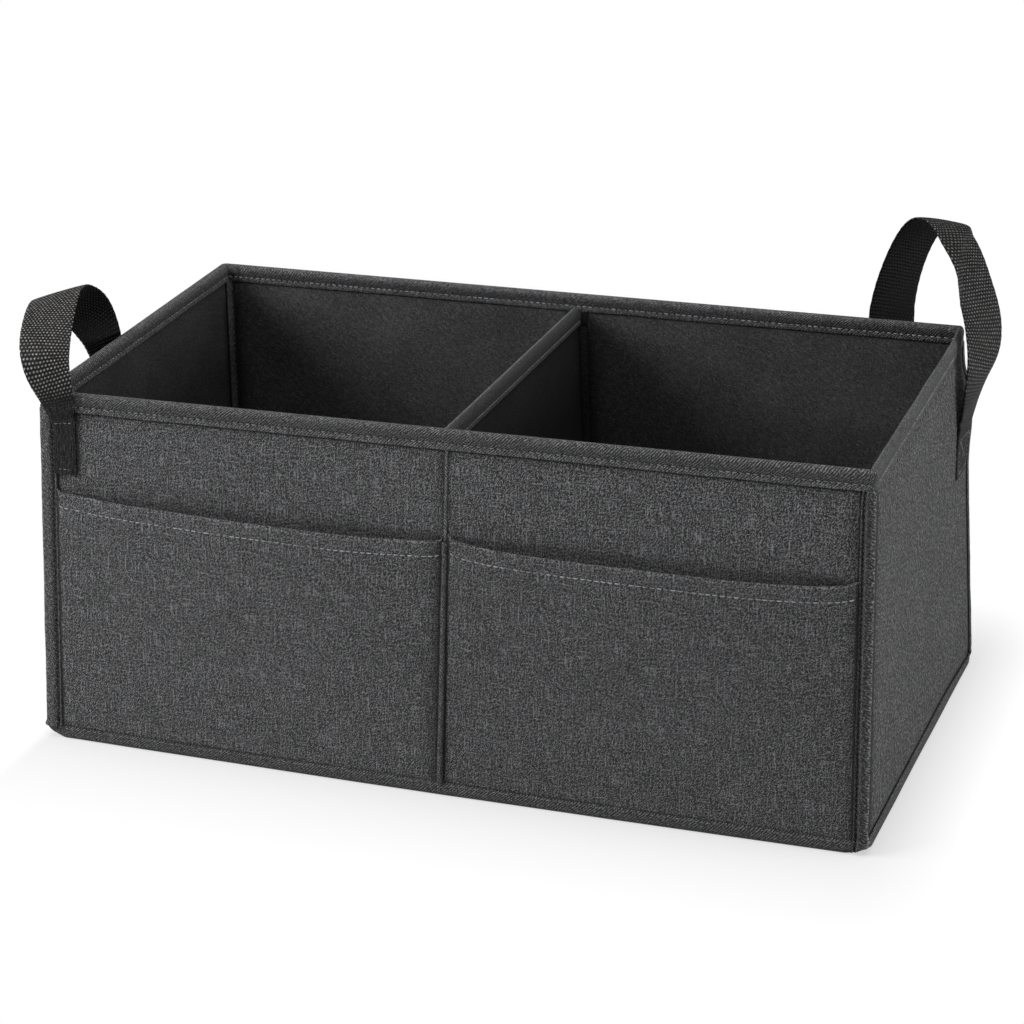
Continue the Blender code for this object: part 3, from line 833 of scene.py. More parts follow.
def divider_shift(back):
    """How far the divider stands to the right of the middle, by its distance back."""
    share = np.clip(back / DEPTH + 0.5, 0, 1)
    return DIVIDER_FRONT_SHIFT + (DIVIDER_BACK_SHIFT - DIVIDER_FRONT_SHIFT) * share


def set_divider(shape):
    """Moves a divider piece from the middle to where the real one hangs."""
    for points in shape.points:
        points[:, 0] += divider_shift(points[:, 1])
        points[:, 2] += DIVIDER_RISE * smoothstep(points[:, 2], 0.03, DIVIDER_TOP)


def pocket_bow(across):
    return 1.0 - np.abs(2.0 * across - 1.0) ** POCKET_EDGE_POWER


def pocket_edge(across, width, seam_side):
    """Height of a pocket's top edge: it sags between its ends and comes to a point at the seam."""
    to_seam = across if seam_side > 0 else 1 - across
    drop = POCKET_SEAM_DROP if seam_side > 0 else POCKET_SEAM_DROP * 0.5
    point = POCKET_POINT[0 if seam_side > 0 else 1] * np.exp(-(1 - to_seam) * width / POCKET_POINT_REACH)
    bow = pocket_bow(across)
    if seam_side > 0:
        skew = 0.0015 * (1 - smoothstep(across, 0.15, 0.80))
        point = point + POCKET_OUTER_POINT * np.exp(-across * width / POCKET_POINT_REACH)
    else:
        skew = -0.0016 * smoothstep(across, 0.25, 0.75) - 0.0009 * bow
    return POCKET_TOP - POCKET_SOFT_SAG * bow - drop * to_seam**2 + point + skew * np.clip(4 * bow, 0, 1)


def pocket_edge_seen(along):
    """Where the pockets' edges cross the wall behind them in the photo's view."""
    seen = np.zeros_like(along)
    for x_low, x_high, seam_side in ((-POCKET_END, 0.0, 1), (0.0, POCKET_END, -1)):
        across = (along - x_low) / (x_high - x_low)
        here = (across >= 0) & (across <= 1)
        across = np.clip(across, 0, 1)
        standing = POCKET_SOFT_BULGE * pocket_bow(across) + 0.002
        edge = pocket_edge(across, POCKET_END, seam_side) + VIEW_SLOPE * standing
        seen = np.where(here, edge, seen)
    return seen


# Outer panels, linings and boards of the walls

# How far the outer cloth stops short of the corners, how far it swells, and how much painted shade darkens
# the whole left lining
PANEL_INSET = 0.0016
SEAM_PILLOW = 0.0009
LEFT_LINING_SHADE = 0.38
# Spacing of the points of a cloth: near its seams and in the open
PANEL_GRID = (0.0007, 0.0048)
LINING_GRID = (0.0009, 0.0060)
BASE_GRID = (0.002, 0.009)


def front_painted_shade(u, v):
    """Shade on the front wall beside the raised seam, above the pockets and beside the handle's end."""
    from_seam = u - seam_shift(v)
    above_edge = v - pocket_edge_seen(u)
    near_end = bump_at(u - seam_shift(POCKET_TOP), 0.0, 0.018) + bump_at(np.abs(u), POCKET_END, 0.020)
    beside_tab = bump_at(u, TAB_EDGE + 0.0011, 0.0016) * smoothstep(v, TAB_FOOT - 0.001, TAB_FOOT + 0.002)
    return darkest(
        0.80 * bump_at(np.abs(from_seam), SEAM_HIGH_WIDTH / 2 + 0.0003, 0.0008),
        0.55 * bump_at(from_seam, -0.0022, 0.0030),
        0.25 * bump_at(v, POCKET_TOP - 0.002, 0.0075),
        (0.50 + 0.45 * np.clip(near_end, 0, 1)) * bump_at(above_edge, 0.0006, 0.0011),
        0.95 * beside_tab,
    )


def panel_painted_shade(wall, u, v, seam):
    """Shade on a wall's cloth along the tapes round it."""
    ground = wall_place(wall, u, 0, 0)
    foot = foot_height(ground[..., 0], ground[..., 1])
    at_foot = bump_at(v, foot + 0.0003, 0.0011) + 0.30 * bump_at(v, foot, 0.0045)
    at_top = bump_at(v, RIM_LOW_OUTSIDE - 0.0004, 0.0011) + 0.25 * bump_at(v, RIM_LOW_OUTSIDE, 0.0040)
    if wall == "right":
        gap = seam - np.abs(u)
        at_side = 0.86 * (1 - smoothstep(gap, 0.0042, 0.0075)) + 0.12 * (1 - smoothstep(gap, 0.0070, 0.0180))
        return darkest(at_foot, at_top * 0.1, at_side)
    if wall == "front":
        seam = np.where(u < 0, seam - TAPE_WIDER[0], seam - TAPE_WIDER[1])
    at_side = 0.85 * bump_at(np.abs(u), seam - 0.0003, 0.0008) + 0.28 * bump_at(np.abs(u), seam, 0.0045)
    if wall == "front":
        at_side = darkest(at_side, front_painted_shade(u, v))
    return darkest(at_foot, at_top, at_side)


def build_outer_panel(wall):
    end_wall = wall in ("left", "right")
    half = WALL_HALF[wall] - PANEL_INSET
    seam = WALL_HALF[wall] - (SIDE_TAPE if end_wall else CORNER_TAPE_WIDTH)
    low, high = BOARD_INSET, WALL_TOP
    along = spaced(-half, half, *PANEL_GRID, [-seam, seam], reach=0.0035)
    up = spaced(low, high, *PANEL_GRID, [BASE_TAPE_HEIGHT - 0.0010, RIM_LOW_OUTSIDE], reach=0.0042)
    u, v = np.meshgrid(along, up, indexing="ij")
    pillow = swell(seam - np.abs(u), 0.014 if end_wall else 0.010)
    pillow = pillow * swell(RIM_LOW_OUTSIDE - v, 0.008) * swell(v - BASE_TAPE_HEIGHT, 0.008)
    seed = WALLS.index(wall)
    ripple = 0.5 + 0.35 * soft_noise(u, v, 0.034, 11 + seed) + 0.15 * soft_noise(u, v, 0.012, 31 + seed)
    out = pillow * (SEAM_PILLOW + 0.0006 * ripple)
    if wall == "front":
        out = out * smoothstep(v, POCKET_TOP - 0.020, POCKET_TOP - 0.004)
    front = wall_place(wall, u, out, v)
    back = wall_place(wall, u, out * 0.6 - CLOTH, v)
    shape = Shape()
    add_sheet(shape, front, back, (u, v), np.clip(panel_painted_shade(wall, u, v, seam), 0, 1))
    cloth = SIDE_CHARCOAL if wall == "right" else CHARCOAL
    obj = shape.piece(f"{wall}_outer_cloth", [cloth], [f"{wall}_outer_panel"])


def build_lining(wall):
    long_wall = wall in ("front", "back")
    half = WALL_HALF[wall] - (LINING_INSET if long_wall else WALL_THICKNESS + CLEARANCE)
    low, high = FLOOR_TOP + CLEARANCE, WALL_TOP
    along = spaced(-half, half, *LINING_GRID, [], reach=0.003)
    up = spaced(low, high, *LINING_GRID, [RIM_LOW_INSIDE], reach=0.003)
    u, v = np.meshgrid(along, up, indexing="ij")
    mask = swell(half - np.abs(u), 0.02) * swell(RIM_LOW_INSIDE - v, 0.012) * swell(v - low, 0.012)
    ripple = 0.5 + 0.5 * soft_noise(u, v, 0.045, 51 + WALLS.index(wall))
    into = mask * (0.0003 + 0.0007 * ripple)
    # Painted shade beside the corner tapes, beside the divider, under the rim and over the whole left lining
    to_end = half - INNER_TAPE_WIDTH - np.abs(u)
    shade = 0.90 * bump_at(to_end, 0.0, 0.0011) + 0.50 * np.exp(-np.clip(to_end, 0, 1) / 0.009)
    if long_wall:
        beside = (-u if wall == "back" else u) - DIVIDER_HALF - DIVIDER_FLANGE - divider_shift(INNER_Y)
        shade = darkest(shade, np.where(beside > 0, 0.85 * np.exp(-np.clip(beside, 0, 1) / 0.0065), 0.0))
    painted_shade = darkest(
        bump_at(v, RIM_LOW_INSIDE - 0.0004, 0.0009),
        0.7 * bump_at(v, low, 0.003),
        shade * smoothstep(RIM_LOW_INSIDE - v, -0.002, 0.022) * 0.9,
        LEFT_LINING_SHADE if wall == "left" else 0.0,
    )
    outer = wall_place(wall, u, -LINING_INSET, v)
    inner = wall_place(wall, u, -LINING_INSET - LINING - into, v)
    shape = Shape()
    add_sheet(shape, inner, outer, (u, v), np.clip(painted_shade, 0, 1))
    obj = shape.piece(f"{wall}_lining_cloth", [INNER_LINING], [f"{wall}_lining"])


def add_block(shape, low, high, spacing=0.02):
    """A box with a fine enough grid on each face to lean with the walls."""
    counts = [max(2, math.ceil((high[k] - low[k]) / spacing) + 1) for k in range(3)]
    for axis in range(3):
        first, second = [k for k in range(3) if k != axis]
        a = np.linspace(low[first], high[first], counts[first])
        b = np.linspace(low[second], high[second], counts[second])
        a, b = np.meshgrid(a, b, indexing="ij")
        for side, value in ((-1, low[axis]), (1, high[axis])):
            points = np.zeros((*a.shape, 3))
            points[..., first], points[..., second], points[..., axis] = a, b, value
            faces, r, c = grid_faces(*a.shape)
            if (side > 0) == (axis == 1):
                faces, r, c = faces[:, ::-1], r[:, ::-1], c[:, ::-1]
            shape.add(points, faces, np.stack([a, b], -1)[r, c], closed=False)


def build_boards():
    for node in [f"{wall}_board" for wall in WALLS] + ["base_board", "divider_board"]:
        shape = Shape()
        add_block(shape, *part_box(node))
        if node == "divider_board":
            set_divider(shape)
        shape.piece(f"{node}_card", [CARD], [node], sharp=30)


def build_base():
    for node, label, material, slot, rises, falls in (
        ("base_outer_panel", "base_outer_cloth", CHARCOAL, "outer_cloth", 0.0, 0.4),
        ("base_lining", "base_lining_cloth", INNER_LINING, "lining_cloth", 1.0, 0.0),
    ):
        low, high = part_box(node)
        along = spaced(-high.x, high.x, *BASE_GRID, [-high.x, high.x], reach=0.012)
        back = spaced(low.y, high.y, *BASE_GRID, [low.y, high.y], reach=0.012)
        u, v = np.meshgrid(along, back, indexing="ij")
        edge = np.minimum(high.x - np.abs(u), high.y - np.abs(v))
        wave = swell(edge, 0.015) * (0.5 + 0.5 * soft_noise(u, v, 0.05, 71)) * 0.0005
        upper = np.stack([u, v, high.z + rises * wave], -1)
        lower = np.stack([u, v, low.z + falls * wave], -1)
        shape = Shape()
        # Painted shade along the edges of the base
        add_sheet(shape, upper, lower, (u, v), 0.8 * np.exp(-edge / 0.003))
        obj = shape.piece(label, [material], [node])


# Tapes round the rim, the foot and the corners


def plain_side(ring):
    """1 along the right wall, whose hem is nearly flush, and 0 elsewhere."""
    return smoothstep(ring.points[:, 0], WALL_X - 0.004, WALL_X - 0.001) * np.clip(ring.normals[:, 0], 0, 1)


def rim_painted_shade(ring, depth, outside, stitch, beat, quick, plain):
    """Shade on the rim's tape: at the stitches, in the corners, at the inner tapes and beside the handle."""
    at_stitch = bump_at(depth, stitch - 0.0003, 0.00075) * (0.98 - 0.25 * beat + 0.15 * quick)
    at_stitch = darkest(at_stitch, 0.26 * bump_at(depth, stitch - 0.0022, 0.0022)) * (1 - 0.5 * plain)
    bend = (bump_at(np.abs(ring.cos - ring.sin), 0.0, 0.20) * (ring.sin > 0.01))[:, None]
    fold = bump_at(np.abs(ring.points[:, 0]), INNER_X - INNER_TAPE_WIDTH - 0.0006, 0.0008)
    fold = (fold * (np.abs(ring.normals[:, 1]) > 0.5))[:, None]
    tab = (bump_at(ring.points[:, 0], TAB_EDGE + 0.0010, 0.0018) * (ring.normals[:, 1] < -0.5))[:, None]
    return darkest(
        at_stitch,
        0.85 * darkest(bend, fold) * ~outside,
        0.45 * bend,
        0.9 * tab * (outside & (depth > 0.002)),
    )


def build_rim_binding():
    middle = -WALL_THICKNESS / 2
    reach = WALL_THICKNESS / 2 + CLEARANCE + TAPE / 2
    ring = Ring(0.0011, 0.0042, middle - reach - TAPE / 2, 0.0020, step=0.0012, arc_steps=14)
    shoulder = HEIGHT - RIM_DROP - TAPE / 2 - RIM_CREST
    lows = (RIM_LOW_OUTSIDE, RIM_LOW_INSIDE)
    outline, around, side = tape_outline(
        folded_line(middle, reach, lows, shoulder, RIM_CREST, (19, 12, 18)), back_step=3
    )
    out_face = side > 0
    outside = outline[:, 0] > middle
    depth = HEIGHT - outline[:, 1]
    stitch = np.where(outside, RIM_STITCH_OUT, RIM_STITCH_IN)
    place = ring.place[:-1]
    beat = (0.5 + 0.5 * np.cos(2 * math.pi * place / RIM_STITCH[0]))[:, None]
    slow = noise_column(place, 0.021, 5)
    quick = noise_column(place, 0.0045, 6, row=0.5)
    flush = plain_side(ring)
    plain = np.where(outside & out_face, flush[:, None], 0.0)

    puff = arch(depth - RIM_DROP, stitch - RIM_DROP) ** 0.8 * 0.00080
    groove = -bump_at(depth, stitch, 0.00055) * 0.00042
    roll = bump_at(depth, stitch + 0.0015, 0.0012) * 0.00050
    near_stitch = bump_at(depth, stitch + 0.0009, 0.0016)
    relief = puff * (1 + 0.25 * slow) + groove * (0.7 + 0.6 * beat) + roll * (1 + 0.4 * slow)
    relief = relief + near_stitch * (0.00034 * (beat - 0.5) + 0.00020 * quick)
    relief = relief * (1 - 0.6 * plain) - plain * 0.00035 * smoothstep(depth, 0.004, 0.010)
    keep = np.where(out_face, 1.0, 0.35)
    offsets = outline[:, 0] + np.where(outside, 1.0, -1.0) * relief * keep
    wander = 0.00025 * noise_column(place, 0.030, 8, row=3.0)
    heights = outline[:, 1] + wander * smoothstep(depth, 0.006, 0.011)

    # Painted highlight along the crest, the inner crest and the hem below the stitches, and painted shade at
    # the stitches, the corners, the inner tapes and beside the handle
    painted_highlight = bump_at(depth, RIM_DROP - 0.0002, 0.0021) * (0.95 + 0.65 * quick)
    inner_crest = bump_at(outline[:, 0], middle - reach * 0.55, 0.0011) * (depth < 0.0035)
    painted_highlight = painted_highlight + inner_crest * (0.6 + 0.9 * flush[:, None])
    hem = smoothstep(depth, stitch + 0.0002, stitch + 0.0009)
    bumps = bump_at(depth, stitch + 0.0010, 0.0009) * (beat - 0.35)
    painted_highlight = painted_highlight + (hem * (0.95 + 0.55 * quick) + 0.9 * bumps) * (1 - 0.75 * plain)
    painted_highlight = np.clip(painted_highlight * out_face, 0, 1.9)

    painted_shade = rim_painted_shade(ring, depth, outside, stitch, beat, quick, plain)
    shape = Shape()
    add_sweep(shape, ring.sections(offsets, heights), ring.place, around, painted_shade, painted_highlight, closed=True)
    obj = shape.piece("rim_tape", [BINDING], ["rim_binding"], sharp=60)
    obj.data.polygons.foreach_set("use_smooth", np.ones(len(obj.data.polygons), bool))

    stitches = Shape()
    surface = reach + TAPE / 2 - 0.00010
    points, facing = ring.line(middle + surface - 0.00012 * flush, HEIGHT - RIM_STITCH_OUT)
    right_end = int((flush > 0.5).sum())
    right_wall = slice(0, right_end + 1)
    others = slice(right_end, None)
    add_stitches(stitches, points[right_wall], facing[right_wall], RIM_STITCH, seed=1, slot=2)
    add_stitches(stitches, points[others], facing[others], RIM_STITCH, seed=1, slot=0)
    points, facing = ring.line(middle - surface, HEIGHT - RIM_STITCH_IN)
    add_stitches(stitches, points, -facing, RIM_STITCH, seed=2, slot=1)
    stitches.piece("rim_stitching", [TAPE_THREAD, BRIGHTENED_INNER_THREAD, BRIGHTENED_SIDE_THREAD])


def build_base_binding():
    ring = Ring(CORNER_RADIUS, CORNER_RADIUS + 0.0015, 0.0, 0.0015, step=0.0013, arc_steps=10)
    offset = CLEARANCE + TAPE / 2
    rows = np.linspace(TAPE / 2, BASE_TAPE_HEIGHT - TAPE / 2, 11)
    bulge = np.sin(np.linspace(0, math.pi, len(rows))) ** 0.7 * 0.0007
    turn_in = 0.0006 * (1 - np.clip(rows / 0.002, 0, 1)) ** 2
    outline, around, side = tape_outline(np.stack([offset + bulge - turn_in, rows], 1))
    place = ring.place[:-1]
    slow = noise_column(place, 0.025, 15)
    quick = noise_column(place, 0.007, 16, row=0.7)
    height = outline[:, 1]
    out_face = np.clip(side, 0, 1)
    top = bump_at(height, BASE_TAPE_HEIGHT - 0.0014, 0.0012)
    standing = outline[:, 0] + out_face * (0.00015 * slow + top * (0.00012 * quick - 0.00008)) - offset
    flush = plain_side(ring)
    offsets = offset + standing * (1 - 0.2 * flush[:, None] * (standing > 0))
    foot = foot_height(ring.points[:, 0], ring.points[:, 1])[:, None]
    heights = (height + 0.00025 * slow * smoothstep(height, 0.004, 0.008)) * foot / BASE_TAPE_HEIGHT
    # Painted highlight along the tape's top edge, and painted shade at its foot
    painted_highlight = bump_at(height, BASE_TAPE_HEIGHT - 0.0005, 0.0007) * (0.35 + 0.35 * quick) * out_face
    painted_shade = 0.6 * bump_at(height, 0.0, 0.0018)
    sections = ring.sections(offsets, heights)
    shape = Shape()
    add_sweep(shape, sections, ring.place, around, painted_shade, np.clip(painted_highlight, 0, 1), closed=True)
    shape.piece("base_tape", [BINDING], ["base_binding"], sharp=60)
    stitches = Shape()
    points, facing = ring.line(offset + TAPE / 2 + 0.00022 - 0.00025 * flush, BASE_TAPE_HEIGHT - 0.0014)
    points[:, 2] *= foot_height(points[:, 0], points[:, 1]) / BASE_TAPE_HEIGHT
    add_stitches(stitches, points, facing, BASE_STITCH, seed=3)
    stitches.piece("base_stitching", [TAPE_THREAD])


class CornerTape:
    """A tape that runs up a corner: its line round the corner, and grids of the distance along it and up."""

    def __init__(self, signs, face_x, face_y, radius, legs, counts, up):
        """legs and counts go from the end wall to the long wall. counts has the arc's between them."""
        self.signs, self.up = signs, up
        points = [(face_x, along) for along in np.linspace(face_y - legs[0], face_y - radius, counts[0])[:-1]]
        normals = [(1.0, 0.0)] * len(points)
        for k in range(counts[1] + 1):
            angle = math.pi / 2 * k / counts[1]
            cos, sin = math.cos(angle), math.sin(angle)
            points.append((face_x - radius + radius * cos, face_y - radius + radius * sin))
            normals.append((cos, sin))
        ends = [(along, face_y) for along in np.linspace(face_x - radius, face_x - legs[1], counts[2])[1:]]
        self.points = np.array(points + ends)
        self.normals = np.array(normals + [(0.0, 1.0)] * len(ends))
        self.place = distances(self.points)
        self.total = self.place[-1]
        self.t, self.z = np.meshgrid(self.place, up, indexing="xy")

    def grid(self, offset):
        """Points at an offset outwards from the tape's line."""
        x = self.signs[0] * (self.points[:, 0] + self.normals[:, 0] * offset)
        y = self.signs[1] * (self.points[:, 1] + self.normals[:, 1] * offset)
        return np.stack(np.broadcast_arrays(x, y, self.z), -1)

    def add_row(self, shape, distance, offset, above, sizes, seed, slot=0):
        """A row of stitches up the tape, at a distance along its line and an offset from it."""
        spot = read_along(distance, self.place, self.points)
        face = self.normals[round(float(np.interp(distance, self.place, np.arange(len(self.place)))))]
        up = self.up[self.up > above]
        x, y = np.array(self.signs) * (spot + face * offset)
        line = np.stack(np.broadcast_arrays(x, y, up), -1)
        facing = np.append(np.array(self.signs) * face * np.sign(offset), 0.0)
        add_stitches(shape, line, np.tile(facing, (len(line), 1)), sizes, seed, slot)


def build_corner_bindings():
    high = RIM_LOW_OUTSIDE + 0.0006
    for number, (name, *signs) in enumerate(CORNERS):
        low = BASE_TAPE_HEIGHT - 0.0012 if name == "front_left" else 0.0006
        foot = foot_height(signs[0] * WALL_X, signs[1] * WALL_Y)
        wider = {"front_left": TAPE_WIDER[0], "front_right": TAPE_WIDER[1]}.get(name, 0.0)
        legs = (SIDE_TAPE, CORNER_TAPE_WIDTH - 0.0003 + wider)
        up = np.append(np.arange(low, high, TAPE_STEP), high)
        tape = CornerTape(signs, WALL_X, WALL_Y, CORNER_RADIUS, legs, (9, 9, 13), up)
        t, z = tape.t, tape.z
        from_edge = tape.total - t

        bead = 0.00055 * bump_at(from_edge, BEAD * 0.45, BEAD * 0.42)
        groove = -0.00085 * bump_at(from_edge, BEAD + 0.0009, 0.00085)
        puff = 0.00095 * arch(from_edge - BEAD, tape.total - BEAD) ** 0.7
        thin = 1 - smoothstep(t, 0.0, 0.0030)
        slow = soft_noise(t * 0.6, z, 0.018, 81 + number)
        quick = soft_noise(t, z, 0.005, 91 + number)
        into = CLEARANCE + 0.0013 * (1 - smoothstep(z, foot - 0.0005, foot + 0.0025))
        out = into + TAPE + bead + groove + puff * (1 + 0.3 * slow) * (1 - thin) + 0.00008 * quick
        out = out - 0.00060 * thin + 0.00035 * bump_at(t, SIDE_SEAM, 0.0007)
        out = out - 0.00030 * bump_at(t, 0.0042, 0.0008)

        # Painted shade in the groove beside the bead, at both edges and in the side groove, and painted
        # highlight on the bead and the side seam
        past_bead = 0.28 * bump_at(from_edge, BEAD, 0.0030) * (from_edge > BEAD)
        painted_shade = darkest(
            bump_at(from_edge, BEAD + 0.0006, 0.00065) + past_bead,
            0.95 * bump_at(t, -0.0002, 0.0009),
            0.45 * bump_at(t, 0.0044, 0.0009),
            0.8 * bump_at(from_edge, -0.0002, 0.0005),
        )
        painted_highlight = 0.95 * bump_at(t, SIDE_SEAM, 0.0009) + 0.9 * bump_at(from_edge, BEAD * 0.45, BEAD * 0.35)
        if name == "front_right":
            beside_pocket = 1 - smoothstep(z, POCKET_TOP - 0.003, POCKET_TOP - 0.001)
            painted_shade = darkest(painted_shade, 0.60 * beside_pocket * bump_at(from_edge, BEAD * 0.45, BEAD * 0.5))
            painted_highlight = painted_highlight - 0.7 * beside_pocket * bump_at(from_edge, BEAD * 0.45, BEAD * 0.35)
        if name == "front_left":
            painted_highlight = painted_highlight + 0.8 * bump_at(t, 0.0048, 0.0012)

        shape = Shape()
        flat = (t * signs[0], z)
        add_sheet(shape, tape.grid(out), tape.grid(into), flat, np.clip(painted_shade, 0, 1), np.clip(painted_highlight, 0, 1))
        shape.piece(f"{name}_corner_tape", [CORNER_BINDING], [f"{name}_corner_binding"])
        stitches = Shape()
        at_bead = tape.total - BEAD - 0.0008
        tape.add_row(stitches, at_bead, CLEARANCE + TAPE * 0.50, foot + 0.002, CORNER_STITCH, 100 + number)
        tape.add_row(stitches, SIDE_SEAM, CLEARANCE + TAPE * 0.95, foot + 0.002, CORNER_STITCH, 110 + number)
        stitches.piece(f"{name}_corner_stitching", [SEAM_THREAD])


def build_inner_tapes():
    low, high = FLOOR_TOP + 0.0004, RIM_LOW_INSIDE + 0.0005
    up = np.append(np.arange(low, high, 0.003), high)
    legs = (INNER_TAPE_WIDTH, INNER_TAPE_WIDTH)
    for number, (name, *signs) in enumerate(CORNERS):
        tape = CornerTape(signs, INNER_X, INNER_Y, INNER_TAPE_RADIUS, legs, (5, 8, 5), up)
        puff = 0.0005 * arch(tape.t, tape.total) ** 0.7
        edge = np.minimum(tape.t, tape.total - tape.t)
        # Painted shade along the tape's edges and painted highlight across its middle
        painted_shade = 0.95 * bump_at(edge, 0.0, 0.0009)
        painted_highlight = 0.9 * smoothstep(edge, 0.0010, 0.0022)
        shape = Shape()
        face = tape.grid(-(CLEARANCE + 0.0007 + puff))
        add_sheet(shape, face, tape.grid(-CLEARANCE), (tape.t, tape.z), painted_shade, painted_highlight)
        for distance in (INNER_SEAM, tape.total - INNER_SEAM):
            tape.add_row(shape, distance, -(CLEARANCE + 0.0011), 0.0, INNER_STITCH, 170 + number, slot=1)
        materials = [INNER_LINING, DARK_THREAD]
        shape.piece(f"{name}_inner_strip", materials, [f"{name}_inner_tape"])


# The front: the raised seam and the pockets


def build_front_seam():
    shape = Shape()
    stitches = Shape()
    face = WALL_Y + CLEARANCE
    angle = np.linspace(0, 2 * math.pi, 25)[:-1]
    round_x = np.sign(np.cos(angle)) * np.abs(np.cos(angle)) ** 0.7
    round_y = np.sign(np.sin(angle)) * np.abs(np.sin(angle)) ** 0.7
    for low, high, width, deep, highlight_gain, seed in (
        (BASE_TAPE_HEIGHT - 0.0006, POCKET_TOP - 0.0016, SEAM_LOW_WIDTH, 0.0030, 0.6, 120),
        (POCKET_TOP - 0.0060, RIM_LOW_OUTSIDE + 0.0005, SEAM_HIGH_WIDTH, 0.0014, 1.9, 121),
    ):
        up = np.append(np.arange(low, high, 0.0012), high)
        outline_x = width / 2 * round_x
        outline_y = deep / 2 + deep / 2 * round_y
        wobble = seam_shift(up) + 0.00014 * soft_noise(up, 0, 0.011, seed)
        pinch = 1 + 0.06 * noise_column(up, 0.005, seed, row=2)
        pinch = pinch * np.sqrt(np.clip((high + 0.0004 - up) / 0.0016, 0.05, 1))[:, None]
        x = outline_x * pinch + wobble[:, None]
        y = -(face + outline_y * pinch)
        sections = np.stack(np.broadcast_arrays(x, y, up[:, None]), -1)
        around = np.append(np.cumsum(np.hypot(np.gradient(outline_x), np.gradient(outline_y))), 0.012)
        # Painted shade where the tape meets the wall, on its right side and at its top end, and painted
        # highlight along its left crest
        painted_shade = darkest(
            0.9 * bump_at(outline_y, 0.0, deep * 0.45),
            0.55 * smoothstep(outline_x, 0.0, width * 0.4),
            0.8 * bump_at(high - up, 0.0002, 0.0009)[:, None],
        )
        painted_highlight = highlight_gain * bump_at(outline_x, -width * 0.15, 0.0008) * (outline_y > deep / 2)
        add_sweep(shape, sections, up, around, np.clip(painted_shade, 0, 1), painted_highlight)
        for side in (-1, 1):
            line = np.stack(np.broadcast_arrays(side * width * 0.36 + wobble, -(face + deep * 0.90), up), -1)
            facing = np.tile([0.35 * side, -1.0, 0.0], (len(up), 1))
            add_stitches(stitches, line, facing, SEAM_STITCH, seed + side)
    shape.piece("front_seam_tape", [BINDING], ["front_seam_binding"])
    stitches.piece("front_seam_stitching", [SEAM_THREAD])


POCKET_HEM_SEAM = 0.0086
# How much painted shade darkens the whole cloth of each pocket
POCKET_SHADE = {"left_front_pocket": 0.04, "right_front_pocket": 0.12}


def pocket_surface(across, up, x_low, x_high, seam_side, seed):
    """The pocket's outer face. seam_side is 1 where its right end meets the seam, or else -1."""
    bow = pocket_bow(across)
    to_seam = across if seam_side > 0 else 1 - across
    top = pocket_edge(across, x_high - x_low, seam_side)
    ease = smoothstep(up, 0, 1)
    out = CLEARANCE + CLOTH + (CLOTH + CLEARANCE) * ease + POCKET_SOFT_BULGE * bow * up**POCKET_SWELL_POWER
    z = POCKET_FOOT + (top - POCKET_FOOT) * up
    x = x_low + (x_high - x_low) * across + seam_shift(z) * to_seam
    edge = np.clip(np.minimum(across, 1 - across) / 0.05, 0, 1) * np.clip(up / 0.10, 0, 1)
    ripple = 0.0009 * soft_noise(x, z, 0.055, seed) + 0.00035 * soft_noise(x, z, 0.017, seed + 1)
    out = out + smoothstep(edge, 0, 1) * ripple
    belly = 0.0018 * np.sin(np.pi * up) * np.sin(np.pi * across) ** 0.5
    return np.stack([x, -(WALL_Y + out + belly), z], -1)


def grid_normals(points):
    """Normals of a grid of points that faces the front."""
    normal = np.cross(np.gradient(points, axis=0), np.gradient(points, axis=1))
    normal = normal / np.maximum(np.linalg.norm(normal, axis=-1, keepdims=True), 1e-12)
    return -normal if normal[..., 1].mean() > 0 else normal


def pocket_painted_shade(name, s, t, width, height, hem_line, seam_side):
    """Shade on a pocket: at its ends and foot, toward its right end, and in its hem's seam."""
    to_right = (1 - s) * width
    if seam_side > 0:
        shaded = darkest(0.72 * bump_at(to_right, 0.0, 0.0062), 0.98 * bump_at(to_right, 0.0, 0.0026))
    else:
        shaded = 0.45 * bump_at(to_right, 0.0, 0.0070)
    return darkest(
        0.99 * (1 - smoothstep(np.minimum(s, 1 - s) * width, 0.0008, 0.0019)),
        0.90 * bump_at(t * height, 0.0, 0.0012),
        shaded,
        POCKET_SHADE[name],
        0.30 * bump_at(t, hem_line, 0.0006 / height),
    )


